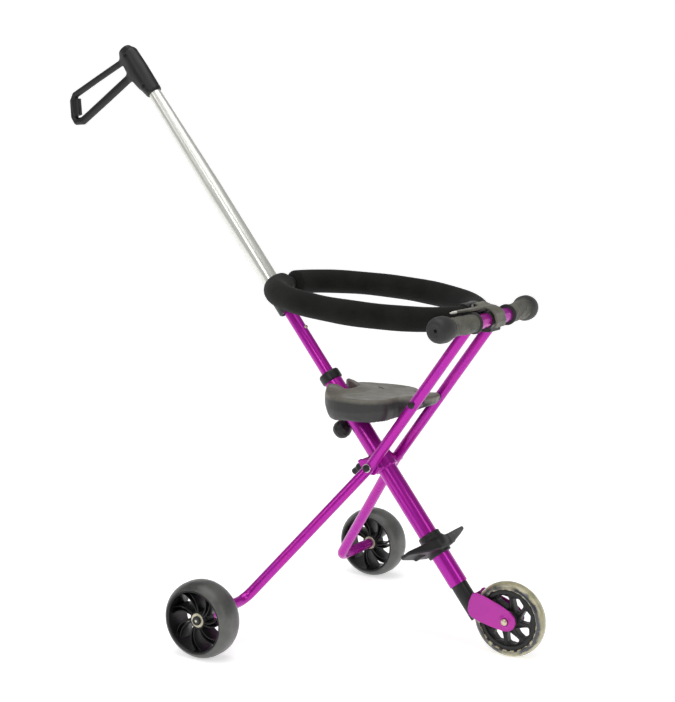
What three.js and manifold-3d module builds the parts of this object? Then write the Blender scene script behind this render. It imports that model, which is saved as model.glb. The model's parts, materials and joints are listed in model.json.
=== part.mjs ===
// Folding children's tricycle with a steering push handle, a padded safety ring and a scissor frame.
// Units are millimetres. +X is forward, +Y is the rider's left, +Z is up.
// The model is laid out from the ground point under the rear axle, then moved so that the
// origin is the centre of the footprint on the ground.
import * as THREE from 'three';
import { mergeVertices } from 'three/addons/utils/BufferGeometryUtils.js';
import Module from 'manifold-3d';

const wasm = await Module();
wasm.setup();

// ---------------------------------------------------------------- driving dimensions
const GAP = 0.3;                       // clearance between touching pieces
const REAR_RADIUS = 60;
const REAR_WIDTH = 50;
const REAR_BOLT_FACE = 267.2;          // inner face of the rear axle bolt's head, from the middle
const HALF_TRACK = 254;                // rear wheel centre plane from the middle of the tricycle
const FRONT_RADIUS = 59;
const FRONT_WIDTH = 24;
const FRONT_AXLE_X = 394;
const WHEEL_SIDES = 28;
const AXLE_Z = FRONT_RADIUS * Math.cos(Math.PI / WHEEL_SIDES);
const REAR_AXLE_Z = REAR_RADIUS * Math.cos(Math.PI / WHEEL_SIDES);

const COLUMN_ANGLE = THREE.MathUtils.degToRad(52.05);   // steering column above the ground
const COLUMN_FOOT_X = 382;             // where the column axis meets the ground
const MAIN_TUBE_RADIUS = 15;
const MAIN_TUBE_BORE = 13.5;
const MAIN_TUBE_START = 125;           // stations along the column, measured from the ground
const MAIN_TUBE_END = 510;
const PIVOT_STATION = 348.3;
const COLLAR_START = 501;
const COLLAR_END = 516;
const LOCK_STATION = 430;              // the seat lock's pull knob
const LOCK_RISE = 15;                  // the fold lock's pin above the pivot, along the column
const BOLT_HOLE = 4.2;
const FOOTREST_STATION = 197;
const COLUMN_RADIUS = 10;
const COLUMN_BORE = 8.5;
const COLUMN_START = 112;
const COLUMN_END = 720;
const SNAP_STATION = 598;
const SLEEVE_START = 635;
const SLEEVE_END = 690;
const SLEEVE_RADIUS = 17.5;
const HANDLE_TUBE_START = 638;
const HANDLE_TUBE_END = 1140;
const HANDLE_TUBE_RADIUS = 13.8;
const HANDLE_TUBE_BORE = 12.9;
const HANDLE_TUBE_TOP_RADIUS = 10.6;

const LEG_RADIUS = 8.5;
const LEG_BORE = 7;
const LEG_SPACING = 41;                // each leg's upper half from the middle
const LEG_SPLAY = 143;                 // each leg's lower bend from the middle
const LEG_STUB_END = 238;
const LEG_TOP = [342.2, 516.4];        // where the leg's line reaches the handlebar, x and z
const BAR_X = 352;
const BAR_Z = 517;
const BAR_RADIUS = 11;
const BAR_SWEEP = 10;                  // how far the grips sweep back
const BAR_STRAIGHT = 45;               // half of the bar's straight middle
const BAR_HALF = 150;
const KNOB_CENTRE = 139;

const SEAT_BOLT_X = 245.5;
const SEAT_TOP = 386;
const SEAT_BOTTOM = 342;
const SEAT_NOSE_TOP = 392;
const SEAT_LIP_TOP = 396.5;            // the raised lip round the seat's notch
const SEAT_LIP_HALF = 30;
const SEAT_NOSE_HALF = 22;

const RING_HINGE = [-11.8, 545.7];     // the ring's lift axis, x and z
const RING_TILT = THREE.MathUtils.degToRad(4.9);
const RING_HALF_LENGTH = 164;
const RING_HALF_WIDTH = 135;
const FOAM_RADIUS = 19;
const HOOP_RADIUS = 5.5;
const FOAM_END = 11;                   // the foam stops this far from the middle at the rear
const CLAMP_RADIUS = 12.8;             // round the handlebar
const LATCH_PIVOT = [331, 537.5];      // the latch's pin, x and z

// ---------------------------------------------------------------- materials
const finish = (color, roughness, metalness) =>
  new THREE.MeshStandardMaterial({ color, roughness, metalness });
const PURPLE = () => finish(0xb02aa4, 0.28, 0.75);
const FORK_PAINT = () => finish(0xa63fa6, 0.45, 0.3);
const SILVER = () => finish(0xc9c9c4, 0.3, 0.9);
const STEEL = () => finish(0xb9b9b6, 0.35, 0.9);
const BRASS = () => finish(0xb79a57, 0.35, 0.85);
const BLACK_PLASTIC = () => finish(0x1d1d1e, 0.5, 0);
const SEAT_PLASTIC = () => finish(0x2e2d2b, 0.55, 0);
const GREY_PLASTIC = () => finish(0xa9a9a2, 0.5, 0);
const RUBBER = () => finish(0x2a2a2a, 0.8, 0);
const TYRE = () => finish(0x4c4d4b, 0.7, 0);
const CLEAR_TYRE = () => finish(0xb9b095, 0.35, 0);
const FOAM = () => finish(0x161616, 0.95, 0);

// ---------------------------------------------------------------- geometry helpers
const vec = (x, y, z) => new THREE.Vector3(x, y, z);

/** Merged triangles of a geometry, with collapsed ones dropped. */
function cleanMesh(geometry) {
  const bare = geometry.clone();
  bare.deleteAttribute('normal');
  bare.deleteAttribute('uv');
  const merged = mergeVertices(bare, 1e-3);
  const from = merged.index.array;
  const kept = [];
  for (let i = 0; i < from.length; i += 3) {
    const [a, b, c] = [from[i], from[i + 1], from[i + 2]];
    if (a !== b && b !== c && c !== a) kept.push(a, b, c);
  }
  merged.setIndex(kept);
  return merged;
}

function toSolid(geometry) {
  const merged = cleanMesh(geometry);
  return new wasm.Manifold(new wasm.Mesh({
    numProp: 3,
    vertProperties: Float32Array.from(merged.attributes.position.array),
    triVerts: Uint32Array.from(merged.index.array),
  }));
}

function toGeometry(solid) {
  const mesh = solid.getMesh();
  const geometry = new THREE.BufferGeometry();
  geometry.setAttribute('position', new THREE.BufferAttribute(mesh.vertProperties, 3));
  geometry.setIndex(new THREE.BufferAttribute(mesh.triVerts, 1));
  return geometry;
}

const join = (first, ...rest) =>
  toGeometry(rest.reduce((sum, g) => sum.add(toSolid(g)), toSolid(first)));
const cut = (body, ...tools) =>
  toGeometry(tools.reduce((left, g) => left.subtract(toSolid(g)), toSolid(body)));

/** Turned solid about local Z. The profile lists [radius, z]; a ring's profile closes on itself. */
function turned(profile, sides = 18) {
  const onAxis = profile[0][0] === 0;
  const points = profile.map(([r, z]) => new THREE.Vector2(r, z));
  if (THREE.ShapeUtils.area(points) < 0) points.reverse();
  if (!onAxis) points.push(points[0].clone());
  return new THREE.LatheGeometry(points, sides).rotateX(Math.PI / 2);
}

/** Turned solid about the Y axis, for wheels, bolts and grips that lie across the tricycle. */
const turnedAcross = (profile, sides) => turned(profile, sides).rotateX(-Math.PI / 2);

/** A tyre, turned half a facet so that it stands on a flat. */
const standing = (geometry) => geometry.rotateY(Math.PI / WHEEL_SIDES);

const rod = (radius, z0, z1, sides = 14) => turned([[0, z0], [radius, z0], [radius, z1], [0, z1]], sides);
const rodAcross = (radius, y0, y1, sides = 14) => rod(radius, y0, y1, sides).rotateX(-Math.PI / 2);
const ringOf = (outer, inner, z0, z1, sides = 18) =>
  turned([[inner, z0], [outer, z0], [outer, z1], [inner, z1]], sides);
const ringAcross = (outer, inner, y0, y1, sides) =>
  ringOf(outer, inner, y0, y1, sides).rotateX(-Math.PI / 2);

function block(x0, x1, y0, y1, z0, z1) {
  return new THREE.BoxGeometry(x1 - x0, y1 - y0, z1 - z0)
    .translate((x0 + x1) / 2, (y0 + y1) / 2, (z0 + z1) / 2);
}

/** A side-view outline of [x, z] points, given width from y0 to y1. */
function sidePlate(outline, y0, y1, holes = []) {
  const shape = outline instanceof THREE.Shape ? outline : polygon(outline);
  shape.holes.push(...holes);
  return new THREE.ExtrudeGeometry(shape, { depth: y1 - y0, bevelEnabled: false, curveSegments: 8 })
    .rotateX(Math.PI / 2)
    .translate(0, y1, 0);
}

/** A front-view outline of [y, z] points, given depth from x0 to x1. */
function frontPlate(outline, x0, x1) {
  const turn = new THREE.Matrix4().makeBasis(vec(0, 1, 0), vec(0, 0, 1), vec(1, 0, 0));
  return new THREE.ExtrudeGeometry(polygon(outline), { depth: x1 - x0, bevelEnabled: false })
    .applyMatrix4(turn)
    .translate(x0, 0, 0);
}

/** A plan-view outline of [x, y] points, given height from z0 to z1. */
function planPlate(outline, z0, z1) {
  const shape = outline instanceof THREE.Shape ? outline : polygon(outline);
  return new THREE.ExtrudeGeometry(shape, { depth: z1 - z0, bevelEnabled: false, curveSegments: 8 })
    .translate(0, 0, z0);
}

const polygon = (points) => new THREE.Shape(points.map(([x, y]) => new THREE.Vector2(x, y)));

function circlePath(x, y, radius) {
  const hole = new THREE.Path();
  hole.absarc(x, y, radius, 0, 2 * Math.PI, true);
  return hole;
}

/** A curve given by its stations, each with a point and a direction. */
class StationCurve extends THREE.Curve {
  constructor(stations) {
    super();
    this.stations = stations;
  }

  at(u, key) {
    const place = u * (this.stations.length - 1);
    const low = Math.min(Math.floor(place), this.stations.length - 2);
    return this.stations[low][key].clone().lerp(this.stations[low + 1][key], place - low);
  }

  getPoint(u, target = new THREE.Vector3()) {
    return target.copy(this.at(u, 'point'));
  }

  getPointAt(u, target) {
    return this.getPoint(u, target);
  }

  getTangent(u, target = new THREE.Vector3()) {
    return target.copy(this.at(u, 'direction')).normalize();
  }

  getTangentAt(u, target) {
    return this.getTangent(u, target);
  }
}

/** Stations of a path through corners, each corner rounded with an arc. */
function bentStations(corners, bendRadius, arcStep = Math.PI / 10) {
  const stations = [];
  const add = (point, direction) => stations.push({ point, direction });
  add(corners[0], corners[1].clone().sub(corners[0]).normalize());
  for (let i = 1; i < corners.length - 1; i += 1) {
    const before = corners[i].clone().sub(corners[i - 1]).normalize();
    const after = corners[i + 1].clone().sub(corners[i]).normalize();
    const turn = before.angleTo(after);
    const setback = bendRadius[i - 1] * Math.tan(turn / 2);
    const start = corners[i].clone().addScaledVector(before, -setback);
    const axis = before.clone().cross(after).normalize();
    const inward = axis.clone().cross(before).multiplyScalar(bendRadius[i - 1]);
    const centre = start.clone().add(inward);
    const steps = Math.max(2, Math.ceil(turn / arcStep));
    for (let k = 0; k <= steps; k += 1) {
      const angle = turn * k / steps;
      const spoke = inward.clone().negate().applyAxisAngle(axis, angle);
      add(centre.clone().add(spoke), before.clone().applyAxisAngle(axis, angle));
    }
  }
  const last = corners.length - 1;
  add(corners[last], corners[last].clone().sub(corners[last - 1]).normalize());
  return stations;
}

/** A round tube along stations; inner is its bore radius. */
function tubeAlong(stations, radius, inner, sides = 14) {
  const shape = new THREE.Shape();
  shape.absarc(0, 0, radius, 0, 2 * Math.PI, false);
  if (inner > 0) shape.holes.push(circlePath(0, 0, inner));
  return new THREE.ExtrudeGeometry(shape, {
    steps: stations.length - 1,
    curveSegments: sides / 2,
    extrudePath: new StationCurve(stations),
    bevelEnabled: false,
  });
}

function named(name, geometry, material, parent) {
  const mesh = new THREE.Mesh(geometry, material);
  mesh.name = name;
  parent.add(mesh);
  return mesh;
}

// ---------------------------------------------------------------- frames
const tricycle = new THREE.Group();

// The column frame: local +Z runs up the steering axis, local +X is its front, perpendicular to it.
const column = new THREE.Group();
column.position.set(COLUMN_FOOT_X, 0, 0);
column.rotation.y = -(Math.PI / 2 - COLUMN_ANGLE);
tricycle.add(column);

// The ring frame: origin on the lift hinge, local +X along the ring towards its front.
const ring = new THREE.Group();
ring.position.set(RING_HINGE[0], 0, RING_HINGE[1]);
ring.rotation.y = RING_TILT;
tricycle.add(ring);

/** A point given by its station on the column axis, in the tricycle's side view. */
function onColumn(station, ahead = 0) {
  return [
    COLUMN_FOOT_X - station * Math.cos(COLUMN_ANGLE) + ahead * Math.sin(COLUMN_ANGLE),
    station * Math.sin(COLUMN_ANGLE) + ahead * Math.cos(COLUMN_ANGLE),
  ];
}

const PIVOT = onColumn(PIVOT_STATION);
const SEAT_BOLT = [
  SEAT_BOLT_X,
  PIVOT[1] + (SEAT_BOLT_X - PIVOT[0]) * (LEG_TOP[1] - PIVOT[1]) / (LEG_TOP[0] - PIVOT[0]),
];

/** Turns a geometry made in the tricycle's frame into the column frame. */
function intoColumn(geometry) {
  column.updateMatrixWorld(true);
  return geometry.applyMatrix4(column.matrix.clone().invert());
}

// ---------------------------------------------------------------- main frame
function mainFrame() {
  const tube = ringOf(MAIN_TUBE_RADIUS, MAIN_TUBE_BORE, MAIN_TUBE_START, MAIN_TUBE_END);
  const pinHole = rod(3.5 + GAP, -30, -5, 14).rotateY(Math.PI / 2).translate(0, 0, LOCK_STATION);
  named('main_tube', cut(tube, pinHole), PURPLE(), column);
  const lip = MAIN_TUBE_END + GAP;
  const wall = MAIN_TUBE_RADIUS + GAP;
  const bore = COLUMN_RADIUS + GAP;
  named('headset_collar', turned([
    [wall, COLLAR_START], [16.6, COLLAR_START], [17.2, COLLAR_START + 1.5], [17.2, COLLAR_END - 2],
    [15.6, COLLAR_END], [bore, COLLAR_END], [bore, lip], [wall, lip],
  ]), BLACK_PLASTIC(), column);
}

/** Bracket on the main tube: a sleeve, two cheeks that carry the legs, and a rear web. */
function pivotBracket() {
  const s = PIVOT_STATION;
  const cheekOuter = LEG_SPACING - LEG_RADIUS - 2 * GAP;
  const cheekInner = cheekOuter - 5;
  const cheek = [
    [-2, s - 13], [6, s - 8], [8, s + 2], [3, s + 12], [-8, s + 17], [-14, s + 21], [-20, s + 21],
    [-20, s + 8], [-14, s - 8], [-8, s - 13],
  ];
  const right = sidePlate(cheek, -cheekOuter, -cheekInner);
  const left = sidePlate(cheek, cheekInner, cheekOuter);
  const sleeve = rod(MAIN_TUBE_RADIUS + 4, s - 12, s + 16, 18);
  const bridge = block(-6, 6, -cheekInner - 1, cheekInner + 1, s - 10, s + 12);
  const web = block(-20, -16.6, -cheekInner - 1, cheekInner + 1, s + 8, s + 21);
  const guide = rod(6.6, -27.3, -17, 12).rotateY(Math.PI / 2).translate(0, 0, s + LOCK_RISE);
  const body = join(right, left, sleeve, bridge, web, guide);
  const boltHole = rodAcross(BOLT_HOLE, -60, 60, 16).translate(0, 0, s);
  const pinHole = rod(4 + GAP, -60, -16, 12).rotateY(Math.PI / 2).translate(0, 0, s + LOCK_RISE);
  const tubeHole = rod(MAIN_TUBE_RADIUS + GAP, s - 60, s + 60, 18);
  named('pivot_bracket', cut(body, boltHole, pinHole, tubeHole), PURPLE(), column);
}
/** Sprung pin that locks the fold: a stepped black pull cap on a steel pin. */
function foldLock() {
  const s = PIVOT_STATION + LOCK_RISE;
  const profile = [[0, -57], [4.6, -57], [5.6, -55.5], [5.6, -47], [6.8, -45], [7.6, -43], [7.6, -36],
    [5, -35], [5, -28.5], [3.6, -28.5], [3.6, -19], [2.8, -17], [0, -17]];
  const pin = turned(profile, 14).rotateY(Math.PI / 2).translate(0, 0, s);
  named('fold_lock_pin', pin, BLACK_PLASTIC(), column);
}

/** Moulded foot rest: a collar on the main tube and a pad to each side. */
function footrest() {
  const s = FOOTREST_STATION;
  const half = 90;
  const pad = new THREE.Shape();
  pad.moveTo(-17, -18);
  pad.lineTo(-12, -half + 8);
  pad.quadraticCurveTo(-10, -half, 0, -half);
  pad.quadraticCurveTo(10, -half, 11, -half + 9);
  pad.lineTo(20, -18);
  pad.lineTo(20, 18);
  pad.lineTo(11, half - 9);
  pad.quadraticCurveTo(10, half, 0, half);
  pad.quadraticCurveTo(-10, half, -12, half - 8);
  pad.lineTo(-17, 18);
  const wedge = frontPlate([
    [-half, s + 1], [-60, s - 6], [-18, s - 14], [18, s - 14], [60, s - 6], [half, s + 1], [half, s + 7],
    [18, s + 4], [-18, s + 4], [-half, s + 7],
  ], -30, 30);
  const pads = toGeometry(toSolid(planPlate(pad, s - 30, s + 30)).intersect(toSolid(wedge)));
  const collar = turned([[0, s - 19], [17.6, s - 19], [19.8, s - 15], [19.8, s + 8], [18.4, s + 18],
    [0, s + 18]], 18);
  const bore = rod(MAIN_TUBE_RADIUS + GAP, s - 60, s + 60, 18);
  const screwHole = rod(2.6, -30, -10, 12).rotateY(Math.PI / 2).translate(0, 0, s - 11);
  named('footrest', cut(join(pads, collar), bore, screwHole), BLACK_PLASTIC(), column);
  const screw = turned([[0, -21.6], [3.4, -21.6], [3.4, -20.2], [2.2, -20.2], [2.2, -15.6], [0, -15.6]], 12);
  named('footrest_screw', screw.rotateY(Math.PI / 2).translate(0, 0, s - 11), STEEL(), column);
}

/** Ball-headed pull pin behind the main tube, under the seat. */
function seatLock() {
  const knob = turned([
    [0, -47.2], [6.5, -46.2], [11.8, -42.6], [14.5, -36.5], [14.5, -29.5], [12, -23.2], [8.4, -20],
    [6.4, -17.5], [3.5, -17.5], [3.5, -13], [2.8, -12.2], [0, -12.2],
  ], 18).rotateY(Math.PI / 2).translate(0, 0, LOCK_STATION);
  named('seat_lock_pin', knob, BLACK_PLASTIC(), column);
}

// ---------------------------------------------------------------- steering column and fork
function steeringColumn() {
  const tube = ringOf(COLUMN_RADIUS, COLUMN_BORE, COLUMN_START, COLUMN_END);
  const buttonHole = rod(3.6, 4, 20, 14).rotateY(Math.PI / 2).translate(0, 0, SNAP_STATION);
  named('column_tube', cut(tube, buttonHole), PURPLE(), column);
  const bush = ringOf(HANDLE_TUBE_BORE - GAP, COLUMN_RADIUS + GAP, COLUMN_END - 20, COLUMN_END - 5);
  named('column_bush', bush, BLACK_PLASTIC(), column);
  const button = turned([
    [0, 3.5], [4.6, 3.5], [4.6, 6.2], [3.2, 6.2], [3.2, 11.6], [2.2, 12.4], [0, 12.4],
  ], 14).rotateY(Math.PI / 2).translate(0, 0, SNAP_STATION);
  named('snap_button', button, BRASS(), column);
}

const FORK_OUTER = 17.6;
const FORK_INNER = 14;
const FORK_OUTLINE = [
  [338, 96], [356, 92.5], [384, 82.5], [401, 74.5], [409, 67], [411, 58], [408, 49.5], [401, 44],
  [392, 42.5], [369, 46], [345, 52], [333, 57], [329.4, 66], [331.4, 80],
];
/** U-shaped plate fork, open ahead of its rear bridge, with a boss round the axle. */
function fork() {
  const shell = sidePlate(FORK_OUTLINE, -FORK_OUTER, FORK_OUTER);
  const hollow = sidePlate([
    [341.5, 130], [335, 80], [332.8, 67], [333.8, 60], [336.5, 20], [440, 20], [440, 130],
  ], -FORK_INNER, FORK_INNER);
  const bossRight = ringAcross(10, 3, -FORK_OUTER - 2, -FORK_OUTER + 1, 20);
  const bossLeft = ringAcross(10, 3, FORK_OUTER - 1, FORK_OUTER + 2, 20);
  bossRight.translate(FRONT_AXLE_X, 0, AXLE_Z);
  bossLeft.translate(FRONT_AXLE_X, 0, AXLE_Z);
  const axleHole = rodAcross(4 + GAP, -40, 40, 16).translate(FRONT_AXLE_X, 0, AXLE_Z);
  const body = cut(join(cut(shell, hollow), bossRight, bossLeft), axleHole);
  named('fork', intoColumn(body), FORK_PAINT(), column);
}

/** Black steerer between the fork's bridge and the main tube. */
function steererNeck() {
  const tube = ringOf(MAIN_TUBE_BORE - GAP, COLUMN_RADIUS + GAP, 60, 165);
  const ahead = sidePlate([
    [338.3, 110], [331, 80], [328, 62], [330.4, 51], [334, 20], [420, 20], [420, 110],
  ], -40, 40);
  named('steerer_neck', cut(tube, intoColumn(ahead)), BLACK_PLASTIC(), column);
}

function frontAxle() {
  const reach = FORK_OUTER + 2 + GAP;
  const bolt = turnedAcross([
    [0, -reach - 3.4], [3.6, -reach - 3.4], [5.4, -reach - 1.6], [5.4, -reach], [4, -reach], [4, reach + 5],
    [0, reach + 5],
  ], 16).translate(FRONT_AXLE_X, 0, AXLE_Z);
  named('front_axle_bolt', intoColumn(bolt), BRASS(), column);
  const hexagon = rodAcross(6.6, reach, reach + 4.4, 6);
  const nut = cut(hexagon, rodAcross(4 + GAP, 0, 40)).translate(FRONT_AXLE_X, 0, AXLE_Z);
  named('front_axle_nut', intoColumn(nut), STEEL(), column);
}

// ---------------------------------------------------------------- push handle
function handleTube() {
  const taperStart = 880;
  const taperEnd = 1066;
  const wall = HANDLE_TUBE_RADIUS - HANDLE_TUBE_BORE;
  const tube = turned([
    [HANDLE_TUBE_BORE, HANDLE_TUBE_START], [HANDLE_TUBE_RADIUS, HANDLE_TUBE_START],
    [HANDLE_TUBE_RADIUS, taperStart], [HANDLE_TUBE_TOP_RADIUS, taperEnd],
    [HANDLE_TUBE_TOP_RADIUS, HANDLE_TUBE_END], [HANDLE_TUBE_TOP_RADIUS - wall, HANDLE_TUBE_END],
    [HANDLE_TUBE_TOP_RADIUS - wall, taperEnd], [HANDLE_TUBE_BORE, taperStart],
  ]);
  named('handle_tube', tube, SILVER(), column);
  const notch = 0.46;                  // half angle of the gap that passes the snap button
  const shape = new THREE.Shape();
  shape.absarc(0, 0, HANDLE_TUBE_BORE - GAP, notch, 2 * Math.PI - notch, false);
  shape.absarc(0, 0, COLUMN_RADIUS + GAP, 2 * Math.PI - notch, notch, true);
  shape.closePath();
  const bush = planPlate(shape, HANDLE_TUBE_START + 2, HANDLE_TUBE_START + 16);
  named('handle_bush', bush, BLACK_PLASTIC(), column);
}

const SHELL_START = 1071;
const UPPER_SCREW = [-3, 1151];
const LOWER_SCREW = [-3.7, 1088.5];

/** Solid of the T-shaped grip, before it is split down the middle. */
function gripSolid() {
  const barrel = sidePlate([
    [-13, SHELL_START + 2], [-11, SHELL_START], [10.5, SHELL_START], [12, SHELL_START + 3], [13.4, 1100],
    [13.4, 1135], [11, 1155], [5, 1166], [-10, 1169], [-18, 1166], [-23, 1152], [-25, 1125], [-20, 1095],
  ], -11, 11);
  const belly = rod(13, SHELL_START + 2, 1160, 18);
  const loop = sidePlate([
    [-16, 1158], [-82, 1169.2], [-139, 1178.9], [-148, 1177], [-156, 1169], [-170, 1147.5], [-171, 1138],
    [-166, 1127.5], [-152, 1121.8], [-92, 1118.9], [-16, 1115.5],
  ], -6.5, 6.5);
  const opening = sidePlate([
    [-30, 1148.3], [-82, 1157.8], [-138, 1167.5], [-143, 1165], [-157.5, 1143.5], [-157, 1138],
    [-151, 1135.6], [-92, 1132.9], [-31, 1130],
  ], -30, 30);
  const bore = rod(HANDLE_TUBE_TOP_RADIUS + GAP, SHELL_START - 20, HANDLE_TUBE_END + GAP, 18);
  return cut(join(barrel, belly, loop), opening, bore);
}

function pushHandle() {
  const whole = gripSolid();
  const holes = [UPPER_SCREW, LOWER_SCREW].flatMap(([x, s]) => [
    rodAcross(1.9, -30, 8, 12).translate(x, 0, s),
    rodAcross(3.6, -30, -11.6, 12).translate(x, 0, s),
  ]);
  const rightHalf = block(-200, 60, -40, -GAP / 2, 1000, 1250);
  const leftHalf = block(-200, 60, GAP / 2, 40, 1000, 1250);
  const half = (side) => toGeometry(holes.reduce(
    (left, hole) => left.subtract(toSolid(hole)), toSolid(whole).intersect(toSolid(side))));
  named('handle_shell_right', half(rightHalf), BLACK_PLASTIC(), column);
  named('handle_shell_left', half(leftHalf), BLACK_PLASTIC(), column);
  for (const [label, [x, s], tip] of [['upper', UPPER_SCREW, 7], ['lower', LOWER_SCREW, -10.4]]) {
    const screw = turnedAcross([
      [0, -13.2], [3.2, -13.2], [3.2, -11.9], [1.6, -11.9], [1.6, tip], [0, tip],
    ], 12);
    named(`handle_screw_${label}`, screw.translate(x, 0, s), STEEL(), column);
  }
}

// ---------------------------------------------------------------- legs and handlebar
function handlebarStations(half) {
  const tip = (side) => vec(BAR_X - BAR_SWEEP * (half - BAR_STRAIGHT) / (KNOB_CENTRE - BAR_STRAIGHT),
    side * half, BAR_Z);
  return bentStations([
    tip(-1), vec(BAR_X, -BAR_STRAIGHT, BAR_Z), vec(BAR_X, BAR_STRAIGHT, BAR_Z), tip(1),
  ], [60, 60]);
}

/** The left leg: from under the handlebar, past the pivot, out and down to the wheel's axle stub. */
function leftLeg() {
  const direction = [LEG_TOP[0] - PIVOT[0], LEG_TOP[1] - PIVOT[1]];
  const top = vec(PIVOT[0] + direction[0] * 1.01, LEG_SPACING, PIVOT[1] + direction[1] * 1.01);
  const corners = [
    top, vec(PIVOT[0], LEG_SPACING, PIVOT[1]), vec(0, LEG_SPLAY, REAR_AXLE_Z),
    vec(0, LEG_STUB_END, REAR_AXLE_Z),
  ];
  const tube = tubeAlong(bentStations(corners, [40, 26], Math.PI / 8), LEG_RADIUS, LEG_BORE, 10);
  const barSaddle = rodAcross(BAR_RADIUS + 2 * GAP, 10, 72, 24).translate(BAR_X, 0, BAR_Z);
  const pivotHole = rodAcross(BOLT_HOLE, 20, 60, 14).translate(PIVOT[0], 0, PIVOT[1]);
  const seatHole = rodAcross(BOLT_HOLE, 20, 60, 14).translate(SEAT_BOLT[0], 0, SEAT_BOLT[1]);
  const face = LEG_SPACING + LEG_RADIUS;
  const washerFlat = rodAcross(8, face, face + 9).translate(PIVOT[0], 0, PIVOT[1]);
  return cut(tube, barSaddle, pivotHole, seatHole, washerFlat);
}

function legs() {
  named('leg_right', mirrorToRight(leftLeg()), PURPLE(), tricycle);
  named('leg_left', leftLeg(), PURPLE(), tricycle);
}

/** Mirrors a left-hand solid in the middle plane and turns its triangles to face out again. */
function mirrorToRight(geometry) {
  const mirrored = cleanMesh(geometry).scale(1, -1, 1);
  const index = mirrored.index.array;
  for (let i = 0; i < index.length; i += 3) [index[i], index[i + 1]] = [index[i + 1], index[i]];
  return mirrored;
}

function handlebar() {
  named('handlebar', tubeAlong(handlebarStations(BAR_HALF - 3), BAR_RADIUS, BAR_RADIUS - 1.5, 16), PURPLE(),
    tricycle);
  const clamp = new THREE.Shape();
  clamp.absarc(0, 0, CLAMP_RADIUS, -0.6, Math.PI + 0.6, false);
  clamp.lineTo(-8, -18);
  clamp.lineTo(8, -18);
  clamp.closePath();
  clamp.holes.push(circlePath(0, 0, BAR_RADIUS + GAP));
  named('bar_clamp', sidePlate(clamp, -18, 18).translate(BAR_X, 0, BAR_Z), BLACK_PLASTIC(), tricycle);
}

/** Rubber grip with a ball end, bored for the bar. */
function grip() {
  const start = 52;
  const profile = [
    [0, start], [12.9, start], [13.4, start + 3], [14, start + 20], [13.8, start + 50], [14.6, start + 64],
    [17.6, start + 72], [19.6, start + 82], [19.4, start + 92], [17.4, start + 99], [13.6, start + 102.4],
    [0, start + 103],
  ];
  const ball = turnedAcross(profile, 16);
  return cut(ball, rodAcross(BAR_RADIUS + GAP, start - 5, BAR_HALF - 2, 16));
}

function grips() {
  const sweep = Math.atan(BAR_SWEEP / (KNOB_CENTRE - BAR_STRAIGHT));
  const place = (geometry) => geometry
    .translate(0, -BAR_STRAIGHT, 0)
    .rotateZ(sweep)
    .translate(BAR_X, BAR_STRAIGHT, BAR_Z);
  const left = place(grip());
  named('grip_left', left, RUBBER(), tricycle);
  named('grip_right', mirrorToRight(left.clone()), RUBBER(), tricycle);
}

/** Bolt, cap and spacer sets on the pivot and the seat bolt, and the rear axle bolts. */
function fasteners() {
  const face = LEG_SPACING + LEG_RADIUS;
  const pivotBolt = turnedAcross([
    [0, 20], [3.9, 20], [3.9, face + GAP], [7, face + GAP], [7, face + 2.6], [0, face + 2.6],
  ], 16);
  const cap = turnedAcross([
    [0, face + 2.9], [5.6, face + 2.9], [5.6, face + 5], [4, face + 6.6], [0, face + 7],
  ], 16);
  for (const [side, flip] of [['right', true], ['left', false]]) {
    const at = (geometry, [x, z]) => (flip ? mirrorToRight(geometry) : geometry).translate(x, 0, z);
    named(`pivot_bolt_${side}`, at(pivotBolt.clone(), PIVOT), STEEL(), tricycle);
    named(`pivot_cap_${side}`, at(cap.clone(), PIVOT), BLACK_PLASTIC(), tricycle);
    const seatCap = cap.clone().translate(0, -2.4, 0);
    named(`seat_bolt_cap_${side}`, at(seatCap, SEAT_BOLT), BLACK_PLASTIC(), tricycle);
    const spacer = ringAcross(6.6, BOLT_HOLE, SEAT_NOSE_HALF + GAP, LEG_SPACING - LEG_RADIUS - GAP, 16);
    named(`seat_spacer_${side}`, at(spacer, SEAT_BOLT), BLACK_PLASTIC(), tricycle);
    const axle = turnedAcross([
      [0, 226], [4, 226], [4, REAR_BOLT_FACE], [6.4, REAR_BOLT_FACE], [6.4, REAR_BOLT_FACE + 3],
      [4.6, REAR_BOLT_FACE + 4.4], [0, REAR_BOLT_FACE + 4.4],
    ], 16);
    named(`rear_axle_bolt_${side}`, at(axle, [0, REAR_AXLE_Z]), STEEL(), tricycle);
  }
  const half = face + GAP;
  const seatBolt = rodAcross(3.9, -half, half, 16).translate(SEAT_BOLT[0], 0, SEAT_BOLT[1]);
  named('seat_bolt', seatBolt, STEEL(), tricycle);
}

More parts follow.
